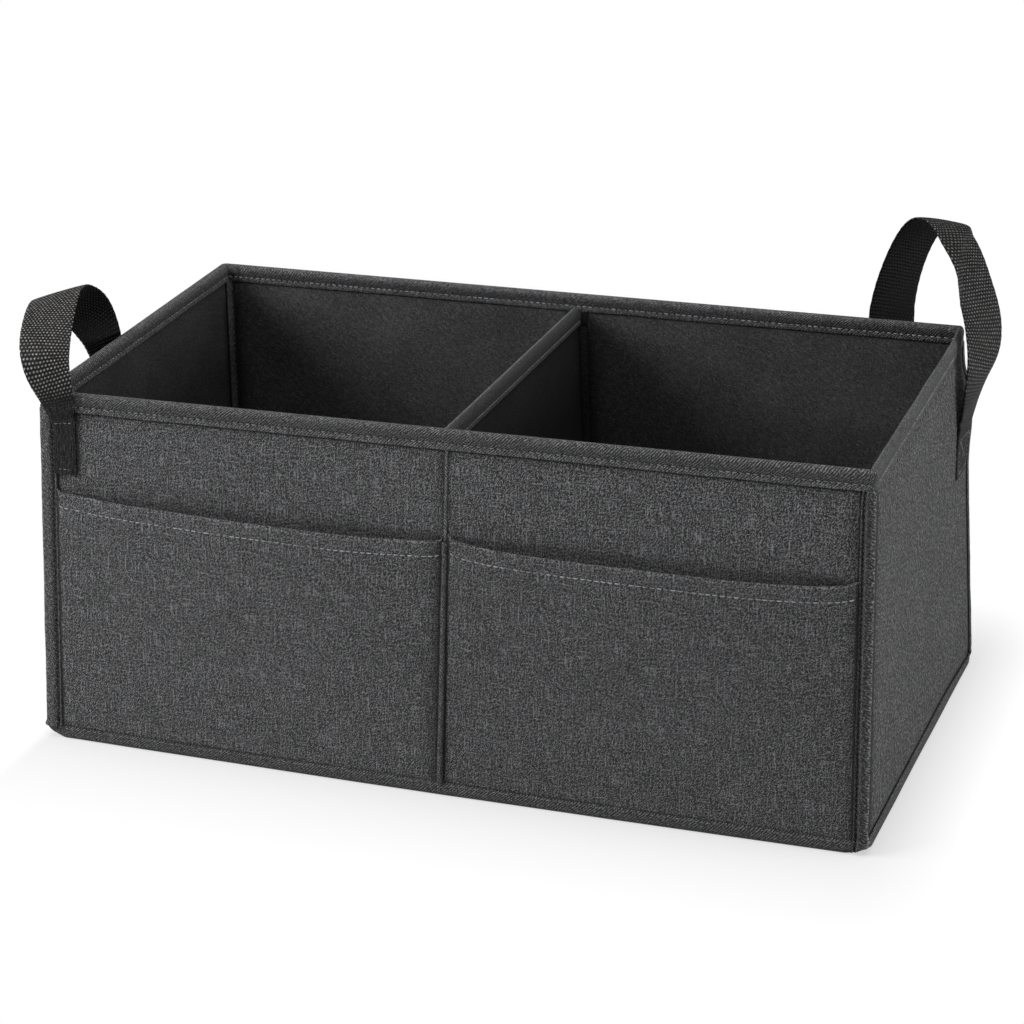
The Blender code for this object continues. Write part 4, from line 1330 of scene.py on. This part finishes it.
def build_pocket(name, x_low, x_high, seam_side, seed):
    height = POCKET_TOP - BASE_TAPE_HEIGHT
    width = x_high - x_low
    across = spaced(0, 1, 0.0009 / width, 0.0045 / width, [0, 1], reach=0.005 / width)
    hem_line = 1 - POCKET_HEM_SEAM / height
    up = spaced(0, 1, 0.0008 / height, 0.0048 / height, [0, hem_line, 1], reach=0.0025 / height)
    s, t = np.meshgrid(across, up, indexing="ij")
    front = pocket_surface(s, t, x_low, x_high, seam_side, seed)
    normal = grid_normals(front)
    beat = np.cos(2 * math.pi * s * width / 0.0037)
    relief = -0.00022 * bump_at(t, hem_line, 0.0014 / height) * (0.7 + 0.3 * beat)
    relief = relief + 0.00006 * soft_noise(s * width, t * height, 0.0048, seed + 3)
    thick_hem = 0.00035 * smoothstep(t, hem_line + 0.0004 / height, hem_line + 0.0022 / height)
    front = front + normal * (relief + thick_hem)[..., None]

    # The cloth turns over its top edge and lies down inside as the hem
    top_row = front[:, -1]
    top_normal = normal[:, -1]
    fold = (CLOTH * 2 + CLEARANCE) / 2
    turns = []
    for angle in math.pi * np.arange(1, 6) / 5:
        rise = np.array([0, 0, fold * 0.9 * math.sin(angle)])
        turns.append(top_row - top_normal * fold * (1 - math.cos(angle)) + rise)
    hems = [turns[-1] + (front[:, -1 - 3 * k] - top_row) * 0.55 for k in range(1, 5)]
    full = np.concatenate([front, np.stack(turns, 1)], 1)
    core = np.repeat((top_row - top_normal * fold)[:, None], len(turns), 1)
    inner = np.concatenate([front - normal * CLOTH, core], 1)
    drop = np.concatenate([up * height, height + np.arange(1, 6) * 0.0005])

    # Painted shade over the pocket's face, its ends, its foot and its hem seam, and painted highlight along
    # its top edge, its hem and its fold
    painted_shade = np.zeros(full.shape[:2])
    painted_shade[:, : len(up)] = pocket_painted_shade(name, s, t, width, height, hem_line, seam_side)
    painted_highlight = np.zeros(full.shape[:2])
    painted_highlight[:, : len(up)] = 0.55 * bump_at(t, 1.0, 0.0012 / height)
    painted_highlight[:, : len(up)] += 0.10 * smoothstep(t, hem_line, hem_line + 0.002 / height)
    painted_highlight[:, len(up) : len(up) + 3] = 0.55
    shape = Shape()
    along = across[:, None] * width
    add_sheet(shape, full, inner, (along, drop), np.clip(painted_shade, 0, 1), np.clip(painted_highlight, 0, 1))
    hem_front = np.stack([turns[-1]] + hems, 1)
    hem_back = hem_front - top_normal[:, None] * 0.0005
    add_sheet(shape, hem_front, hem_back, (along, np.linspace(0, POCKET_HEM, 5)))
    obj = shape.piece(f"{name}_cloth", [CHARCOAL], [name])
    row = int(np.argmin(np.abs(up - hem_line)))
    stitches = Shape()
    line = front[:, row] + normal[:, row] * THREAD_RISE
    add_stitches(stitches, line, normal[:, row], POCKET_STITCH, seed + 7)
    stitches.piece(f"{name}_stitching", [PALE_THREAD])


# The divider

COVER_END = INNER_Y - CLEARANCE
COVER_BEND = 0.0025
# The top tape: its seam's depth, the height of its crest, and how far it stops short of the walls
DIVIDER_SEAM = 0.0074
DIVIDER_CREST = 0.0023
DIVIDER_TAPE_INSET = 0.0026


def cover_line():
    """A cover's line seen from above, with its normals: a flange, the side and the other flange."""
    wall_y = COVER_END - LINING
    flange = np.linspace(DIVIDER_FLANGE, COVER_BEND, 5)[:-1]
    points = [(DIVIDER_HALF + along, wall_y) for along in flange]
    normals = [(0.0, -1.0)] * len(points)
    for k in range(7):
        angle = math.pi / 2 * k / 6
        sin, cos = COVER_BEND * math.sin(angle), COVER_BEND * math.cos(angle)
        points.append((DIVIDER_HALF + COVER_BEND - sin, wall_y - COVER_BEND + cos))
        normals.append((math.sin(angle), -math.cos(angle)))
    half = points[-1][1]
    side = [(DIVIDER_HALF, along) for along in np.linspace(half, -half, 56)[1:-1]]
    mirrored = np.array([1, -1])
    line = np.vstack([points, side, np.array(points)[::-1] * mirrored])
    normals = np.vstack([normals, [(1.0, 0.0)] * len(side), np.array(normals)[::-1] * mirrored])
    return line, normals, half


def build_divider_covers():
    low = FLOOR_TOP + CLEARANCE
    top = DIVIDER_TOP - UNDER_CREST
    line, normals, half = cover_line()
    place = distances(line)
    up = spaced(low, top, *LINING_GRID, [DIVIDER_TAPE_LOW], reach=0.003)
    t, z = np.meshgrid(place, up, indexing="xy")
    mask = swell(half - np.abs(line[:, 1]), 0.02) * swell(z - low, 0.02) * swell(DIVIDER_TAPE_LOW - z, 0.02)
    to_end = np.minimum(t, place[-1] - t)
    flange = 1 - smoothstep(to_end, DIVIDER_FLANGE - 0.0006, DIVIDER_FLANGE + 0.0004)
    # Painted shade under the top tape, beside the flanges and at the covers' ends
    painted_shade = darkest(
        0.8 * bump_at(z, DIVIDER_TAPE_LOW, 0.0009),
        0.92 * bump_at(to_end, DIVIDER_FLANGE + 0.0012, 0.0016),
        0.80 * bump_at(to_end, 0.0, 0.0008),
        0.45 * bump_at(to_end, DIVIDER_FLANGE, 0.012) * (1 - flange),
    )
    for name, sign, seed in (("left", -1, 131), ("right", 1, 132)):

        def grid(offset):
            x = sign * (line[:, 0] + normals[:, 0] * offset)
            return np.stack(np.broadcast_arrays(x, line[:, 1] + normals[:, 1] * offset, z), -1)

        out = mask * (0.0004 + 0.0006 * (0.5 + 0.5 * soft_noise(t, z, 0.05, seed)))
        out = out + 0.0007 * arch(to_end, DIVIDER_FLANGE)
        shape = Shape()
        # The flanges get a painted highlight
        add_sheet(shape, grid(out), grid(-LINING), (t, z), painted_shade, 1.9 * flange)
        set_divider(shape)
        label = f"divider_{name}_cloth"
        obj = shape.piece(label, [SHADED_DIVIDER_LINING], [f"divider_{name}_cover"])


def build_divider_tape():
    reach = DIVIDER_HALF + CLEARANCE + TAPE / 2
    lows = (DIVIDER_TAPE_LOW + 0.0010, DIVIDER_TAPE_LOW + 0.0010)
    shoulder = DIVIDER_TOP - TAPE / 2 - DIVIDER_CREST
    outline, around, side = tape_outline(folded_line(0.0, reach, lows, shoulder, DIVIDER_CREST, (16, 8, 16)))
    across = outline[:, 0]
    depth = DIVIDER_TOP - outline[:, 1]
    length = COVER_END - DIVIDER_TAPE_INSET
    stations = np.arange(-length, length + TAPE_STEP, TAPE_STEP)
    stations = stations * length / stations[-1]
    puff = arch(depth, DIVIDER_SEAM) * 0.0005 - bump_at(depth, DIVIDER_SEAM, 0.0008) * 0.0003
    relief = np.sign(across) * puff * (side > 0) * (1 + 0.3 * noise_column(stations, 0.02, 141))
    sections = np.stack(np.broadcast_arrays(across + relief, stations[:, None], outline[:, 1]), -1)
    # Painted shade on the tape's right side, below its crest and at its seam, and a painted highlight along
    # its left crest
    above_seam = 1 - smoothstep(depth, DIVIDER_SEAM - 0.0002, DIVIDER_SEAM + 0.0006)
    painted_shade = darkest(
        0.62 * smoothstep(depth, 0.0016, 0.0034) * above_seam,
        0.64 * smoothstep(across, -0.0008, 0.0004) * (depth < 0.0034),
        0.75 * bump_at(depth, DIVIDER_SEAM - 0.0006, 0.0006),
    )
    painted_highlight = 2.4 * bump_at(depth, 0.0009, 0.0016) * (side > 0) * (across < 0)
    painted_highlight = painted_highlight * (1 + 0.4 * noise_column(stations, 0.0036, 144, row=0.4))
    shape = Shape()
    add_sweep(shape, sections, stations + length, around, painted_shade, painted_highlight)
    set_divider(shape)
    shape.piece("divider_top_tape", [BINDING], ["divider_top_binding"], sharp=60)
    stitches = Shape()
    for sign, seed in ((-1, 142), (1, 143)):
        x = sign * (reach + TAPE / 2 - 0.0001)
        line = np.stack(np.broadcast_arrays(x, stations, DIVIDER_TOP - DIVIDER_SEAM), -1)
        add_stitches(stitches, line, np.tile([sign, 0.0, 0.0], (len(line), 1)), DIVIDER_STITCH, seed)
    set_divider(stitches)
    stitches.piece("divider_stitching", [BRIGHTENED_INNER_THREAD])


# Handles

CURVE_STEPS = 22
# How far past its sewn ends a strap is pressed flat, and where its ribs stand full, folded or not
PRESSED = (0.009, 0.024, 0.080)
LEAST_PRESSED = 0.58
# Share of a strap's half width where its edge starts, and how far a folded end's weave is shifted
SELVEDGE = 0.97
FOLD_SHIFT = 0.0075
# The sewn boxes: how far they stand in from the strap's ends, and their share of its width
BOX_INSET = 0.0032
BOX_WIDTH = 0.80


def smooth_curve(rows):
    """Rows of numbers along a uniform cubic B-spline from the first row to the last, and each one's place."""
    rows = np.array(rows, dtype=float)
    rows = np.vstack([2 * rows[0] - rows[1], rows, 2 * rows[-1] - rows[-2]])
    spans = len(rows) - 3
    places = np.arange(spans * CURVE_STEPS + 1) / CURVE_STEPS
    found = []
    for place in places:
        first = min(int(place), spans - 1)
        t = place - first
        weights = np.array([(1 - t) ** 3, 3 * t**3 - 6 * t**2 + 4, -3 * t**3 + 3 * t**2 + 3 * t + 1, t**3])
        found.append(weights @ rows[first : first + 4] / 6)
    return np.array(found), places


def sewn_rows(seam, turn, width, upward, thick):
    """Rows of a strap's sewn end, flat on its wall: place, turn, tilt, width and thickness."""
    distance, below, length = seam
    out = -(CLEARANCE + thick / 2)
    heights = [-below - length, -below - length / 2, -below]
    if not upward:
        heights.reverse()
    place = (distance, out) if turn == 0 else (out, distance)
    return [(*place, height, turn, 0, width, thick) for height in heights]


class Strap:
    """A handle's line from its end on the long wall to its end on the end wall, in world places."""

    def __init__(self, loop, long_seam, end_seam, long_width, corner_x, corner_y):
        rows = sewn_rows(long_seam, 0, long_width, True, SEWN_THICKNESS)
        rows += [(*row, WEBBING_WIDTH, WEBBING) for row in loop]
        rows += sewn_rows(end_seam, 90, WEBBING_WIDTH, False, END_SEAM_THICKNESS)
        rows, self.places = smooth_curve(rows)
        centre = rows[:, :3]
        along = np.gradient(centre, axis=0)
        along /= np.linalg.norm(along, axis=1)[:, None]
        turn, tilt = np.radians(rows[:, 3]), np.radians(rows[:, 4])
        across = np.stack([np.cos(turn) * np.cos(tilt), np.sin(turn) * np.cos(tilt), np.sin(tilt)], 1)
        across -= along * np.einsum("ij,ij->i", across, along)[:, None]
        across /= np.linalg.norm(across, axis=1)[:, None]
        flip = np.array([-corner_x, -corner_y, 1.0])
        self.centre = np.array([corner_x * WALL_X, corner_y * WALL_Y, HEIGHT]) + centre * flip
        self.across = across * flip
        self.face = np.cross(along, across) * flip
        self.width, self.thickness = rows[:, 5], rows[:, 6]
        self.distance = distances(centre)
        self.sewn = (long_seam[2], end_seam[2])
        self.folded = long_width < WEBBING_WIDTH
        # Which side of the strap faces out at each sewn end
        self.long_side = 1 if self.face[0, 1] * corner_y > 0 else -1
        self.end_side = 1 if self.face[-1, 0] * corner_x > 0 else -1

    def from_ends(self):
        """How far each station is past the long wall's sewn end, and before the end wall's."""
        return self.distance - self.sewn[0], self.distance[-1] - self.sewn[1] - self.distance

    def sections(self, outline):
        """The strap's outline at each station, curled a little along the loop and with scalloped edges."""
        across = outline[:, 0]
        places = self.places
        bent = smoothstep(places, 2, 3.5) * (1 - smoothstep(places, places[-1] - 3.0, places[-1] - 2.2))
        curl = 0.0007 * (across**2 - 0.4) * bent[:, None]
        edge_soft = 1 - 0.25 * np.abs(across) ** 8
        deep = outline[:, 1] * self.thickness[:, None] / 2 * edge_soft + curl
        ribs = np.sin(2 * math.pi * self.distance / RIB_CELL[0])[:, None]
        wide = across * self.width[:, None] / 2 * (1 + 0.006 * ribs * (np.abs(across) > SELVEDGE))
        sideways = self.across[:, None] * wide[..., None]
        return self.centre[:, None] + sideways + self.face[:, None] * deep[..., None]

    def add_line(self, shape, places, across, side, seed):
        """A row of stitches along the strap's face, at places along it and shares of its half width."""
        rows = (self.centre, self.across, self.face)
        centre, wide, face = (read_along(places, self.distance, values) for values in rows)
        half_width = np.interp(places, self.distance, self.width) / 2
        half_thick = np.interp(places, self.distance, self.thickness) / 2
        line = centre + wide * (across * half_width)[:, None]
        line = line + face * (side * (half_thick + THREAD_RISE))[:, None]
        add_stitches(shape, line, face * side, HANDLE_STITCH, seed)


def strap_outline(columns=22):
    """Shares of a strap's half width and half thickness round its section."""
    across = np.linspace(-1, 1, columns) * 0.985
    top = [(value, 1.0) for value in across[::-1]]
    bottom = [(value, -1.0) for value in across]
    return np.array([(1.0, 0.45), *top, (-1.0, 0.45), (-1.0, -0.45), *bottom, (1.0, -0.45)])


def build_webbing(name, strap):
    outline = strap_outline()
    across = outline[:, 0]
    at_edge = np.abs(across) > SELVEDGE
    past, before = strap.from_ends()
    folded = (WEBBING_WIDTH - strap.width[:, None]) / (WEBBING_WIDTH - FOLDED_WIDTH)
    around = folded * FOLD_SHIFT + across * WEBBING_WIDTH / 2 * (1 - 0.5 * folded)
    around = np.concatenate([around, around[:, :1]], 1)
    # Painted shade on the loop's inner face and near the sewn ends, and painted highlight along the edges and
    # over the pressed parts
    loop = smoothstep(past, -0.004, 0.012) * (1 - smoothstep(-before, -0.012, 0.002))
    ends = bump_at(past, 0.001, 0.0016) + bump_at(before, 0.001, 0.0016)
    inner_face = np.clip(-strap.end_side * outline[:, 1], 0, 1)
    painted_shade = darkest(0.96 * loop[:, None] * inner_face, 0.35 * ends[:, None])
    full_ribs = PRESSED[1] if strap.folded else PRESSED[2]
    pressed = 1 - smoothstep(np.minimum(past, before), PRESSED[0], full_ribs)
    painted_highlight = 0.35 * at_edge
    if not strap.folded:
        pressed = np.maximum(pressed, LEAST_PRESSED)
        painted_highlight = np.maximum(painted_highlight, 0.45 * pressed[:, None])
    at_sewn = (past[:-1] < PRESSED[0]) | (before[1:] < PRESSED[0])
    shape = Shape()
    slot = np.repeat(at_sewn, len(outline))
    add_sweep(shape, strap.sections(outline), strap.distance, around, np.clip(painted_shade, 0, 1), painted_highlight, slot=slot)
    obj = shape.piece(f"{name}_webbing", [STRAP, FOLDED_STRAP], [name], sharp=55)
    add_attribute(obj.data, "pressed", np.repeat(pressed, len(outline)))


def box_lines(start, end, crossed):
    """Sewing lines of a box between two distances along the strap, and of the cross in it."""
    low, high = start + BOX_INSET, end - BOX_INSET
    dense = np.linspace(0, 1, 14)
    wide = (2 * dense - 1) * BOX_WIDTH
    level = np.ones(len(dense))
    lines = [(low * level, wide), (high * level, wide)]
    if crossed:
        along = low + (high - low) * dense
        lines += [(along, across) for across in (-BOX_WIDTH * level, BOX_WIDTH * level, wide, -wide)]
    return lines


def build_handles():
    left = Strap(FRONT_LEFT_LOOP, FRONT_LEFT_FRONT_SEAM, FRONT_LEFT_END_SEAM, FOLDED_WIDTH, -1, -1)
    right = Strap(BACK_RIGHT_LOOP, BACK_RIGHT_BACK_SEAM, BACK_RIGHT_END_SEAM, WEBBING_WIDTH, 1, 1)
    for name, strap, seed in (("left_handle", left, 200), ("right_handle", right, 230)):
        build_webbing(name, strap)
        end = strap.distance[-1]
        rows = [(*line, strap.long_side) for line in box_lines(0, strap.sewn[0], not strap.folded)]
        rows += [(*line, strap.end_side) for line in box_lines(end - strap.sewn[1], end, True)]
        stitches = Shape()
        for number, row in enumerate(rows, 1):
            strap.add_line(stitches, *row, seed + number)
        stitches.piece(f"{name}_stitching", [DARK_THREAD])


# Floor, light and camera

FLOOR_REACH = 6.0
FLOOR_SHADE = (0.36, 0.36, 0.36, 1)
FLOOR_BOUNCE = (0.80, 0.80, 0.80, 1)
FLOOR_GLOW = 0.50
# How far round the part the shadow on the floor fades out, and how much faster to each side
FLOOR_FADE = 0.095
FADE_SCALE = ((LENGTH / 2, 12.0, 2.0), (DEPTH / 2, 1.0, 1.0))
WHITE = (1, 1, 1, 1)
WORLD_LIGHT = 0.24
CAMERA_PLACE = (0.5466, -1.6911, 0.7897)
CAMERA_AZIMUTH = math.radians(18.022)
CAMERA_ELEVATION = math.radians(20.584)
SENSOR = 36
# The photo's width and its lens, in pixels
PHOTO_WIDTH = 1024
PHOTO_FOCAL = 3113


def fade_from_part(tree):
    """0 at the part's foot and 1 where the floor has faded to white."""
    position = tree.new("NewGeometry").outputs["Position"]
    place = tree.new("SeparateXYZ", {0: position}).outputs
    gaps = tree.new("CombineXYZ")
    for axis, (half, scale_low, scale_high) in enumerate(FADE_SCALE):
        below = tree.math("MULTIPLY_ADD", place[axis], -scale_low, -half * scale_low)
        above = tree.math("MULTIPLY_ADD", place[axis], scale_high, -half * scale_high)
        past = tree.math("MAXIMUM", tree.math("MAXIMUM", below, above), 0.0)
        tree.join(gaps.inputs[axis], past)
    far = tree.new("VectorMath")
    far.operation = "LENGTH"
    tree.join(far.inputs[0], gaps.outputs[0])
    fade = tree.new("MapRange", {"From Min": 0.0, "From Max": FLOOR_FADE, "Value": far.outputs["Value"]})
    return fade.outputs[0]


def build_stage():
    mesh = bpy.data.meshes.new("studio_floor")
    reach = FLOOR_REACH
    corners = [(-reach, -reach, 0), (reach, -reach, 0), (reach, reach, 0), (-reach, reach, 0)]
    mesh.from_pydata(corners, [], [(0, 1, 2, 3)])
    floor = bpy.data.objects.new("studio_floor", mesh)
    bpy.context.scene.collection.objects.link(floor)
    floor.location.z = -CLEARANCE
    material = bpy.data.materials.new("pale_floor")
    material.use_nodes = True
    tree = Tree(material.node_tree)
    tree.nodes.clear()
    shaded = tree.new("BsdfDiffuse", {"Color": FLOOR_SHADE}).outputs[0]
    glow = tree.new("Emission", {"Strength": FLOOR_GLOW}).outputs[0]
    near = tree.new("AddShader", {0: shaded, 1: glow}).outputs[0]
    white = tree.new("Emission", {"Strength": 1.0}).outputs[0]
    seen = tree.new("MixShader", {0: fade_from_part(tree), 1: near, 2: white}).outputs[0]
    bounce = tree.new("BsdfDiffuse", {"Color": FLOOR_BOUNCE}).outputs[0]
    camera_ray = tree.new("LightPath").outputs["Is Camera Ray"]
    mix = tree.new("MixShader", {0: camera_ray, 1: bounce, 2: seen}).outputs[0]
    tree.new("OutputMaterial", {"Surface": mix})
    mesh.materials.append(material)


def build_world():
    world = bpy.data.worlds.new("studio")
    bpy.context.scene.world = world
    world.use_nodes = True
    tree = Tree(world.node_tree)
    tree.nodes.clear()
    light = tree.new("Background", {"Color": WHITE, "Strength": WORLD_LIGHT}).outputs[0]
    white = tree.new("Background", {"Color": WHITE, "Strength": 1.0}).outputs[0]
    camera_ray = tree.new("LightPath").outputs["Is Camera Ray"]
    mix = tree.new("MixShader", {0: camera_ray, 1: light, 2: white}).outputs[0]
    tree.new("OutputWorld", {"Surface": mix})


def add_lamp(name, place, target, size, power):
    data = bpy.data.lights.new(name, "AREA")
    data.shape = "RECTANGLE"
    data.size, data.size_y = size
    data.energy = power
    lamp = bpy.data.objects.new(name, data)
    bpy.context.scene.collection.objects.link(lamp)
    lamp.location = place
    lamp.rotation_mode = "QUATERNION"
    lamp.rotation_quaternion = (Vector(target) - Vector(place)).to_track_quat("-Z", "Y")


def build_lights():
    add_lamp("key_light", (-1.5, -0.95, 1.05), (0, 0, 0.1), (1.2, 0.9), 38)
    add_lamp("top_light", (0.1, -0.1, 2.1), (0, 0, 0.1), (1.8, 1.6), 20)
    add_lamp("right_light", (1.9, 0.0, 0.45), (0.1, 0, 0.1), (1.2, 0.5), 20)


def build_camera():
    data = bpy.data.cameras.new("camera")
    data.sensor_width = SENSOR
    data.lens = PHOTO_FOCAL / PHOTO_WIDTH * SENSOR
    data.clip_start, data.clip_end = 0.05, 50
    camera = bpy.data.objects.new("camera", data)
    bpy.context.scene.collection.objects.link(camera)
    level = math.cos(CAMERA_ELEVATION)
    side, front = math.sin(CAMERA_AZIMUTH), math.cos(CAMERA_AZIMUTH)
    back = Vector((side * level, -front * level, math.sin(CAMERA_ELEVATION)))
    right = Vector((front, side, 0))
    turn = Matrix((right, back.cross(right), back)).transposed().to_4x4()
    camera.matrix_world = Matrix.Translation(CAMERA_PLACE) @ turn
    bpy.context.scene.camera = camera


build_camera()
build_world()
build_lights()
build_stage()
for wall_name in WALLS:
    build_outer_panel(wall_name)
    build_lining(wall_name)
build_boards()
build_base()
build_rim_binding()
build_base_binding()
build_corner_bindings()
build_inner_tapes()
build_front_seam()
build_pocket("left_front_pocket", -POCKET_END + TAPE_WIDER[0], -SEAM_LOW_WIDTH / 2, 1, 150)
build_pocket("right_front_pocket", SEAM_LOW_WIDTH / 2, POCKET_END - TAPE_WIDER[1], -1, 160)
build_divider_covers()
build_divider_tape()
build_handles()
bpy.context.scene.view_settings.view_transform = "Standard"
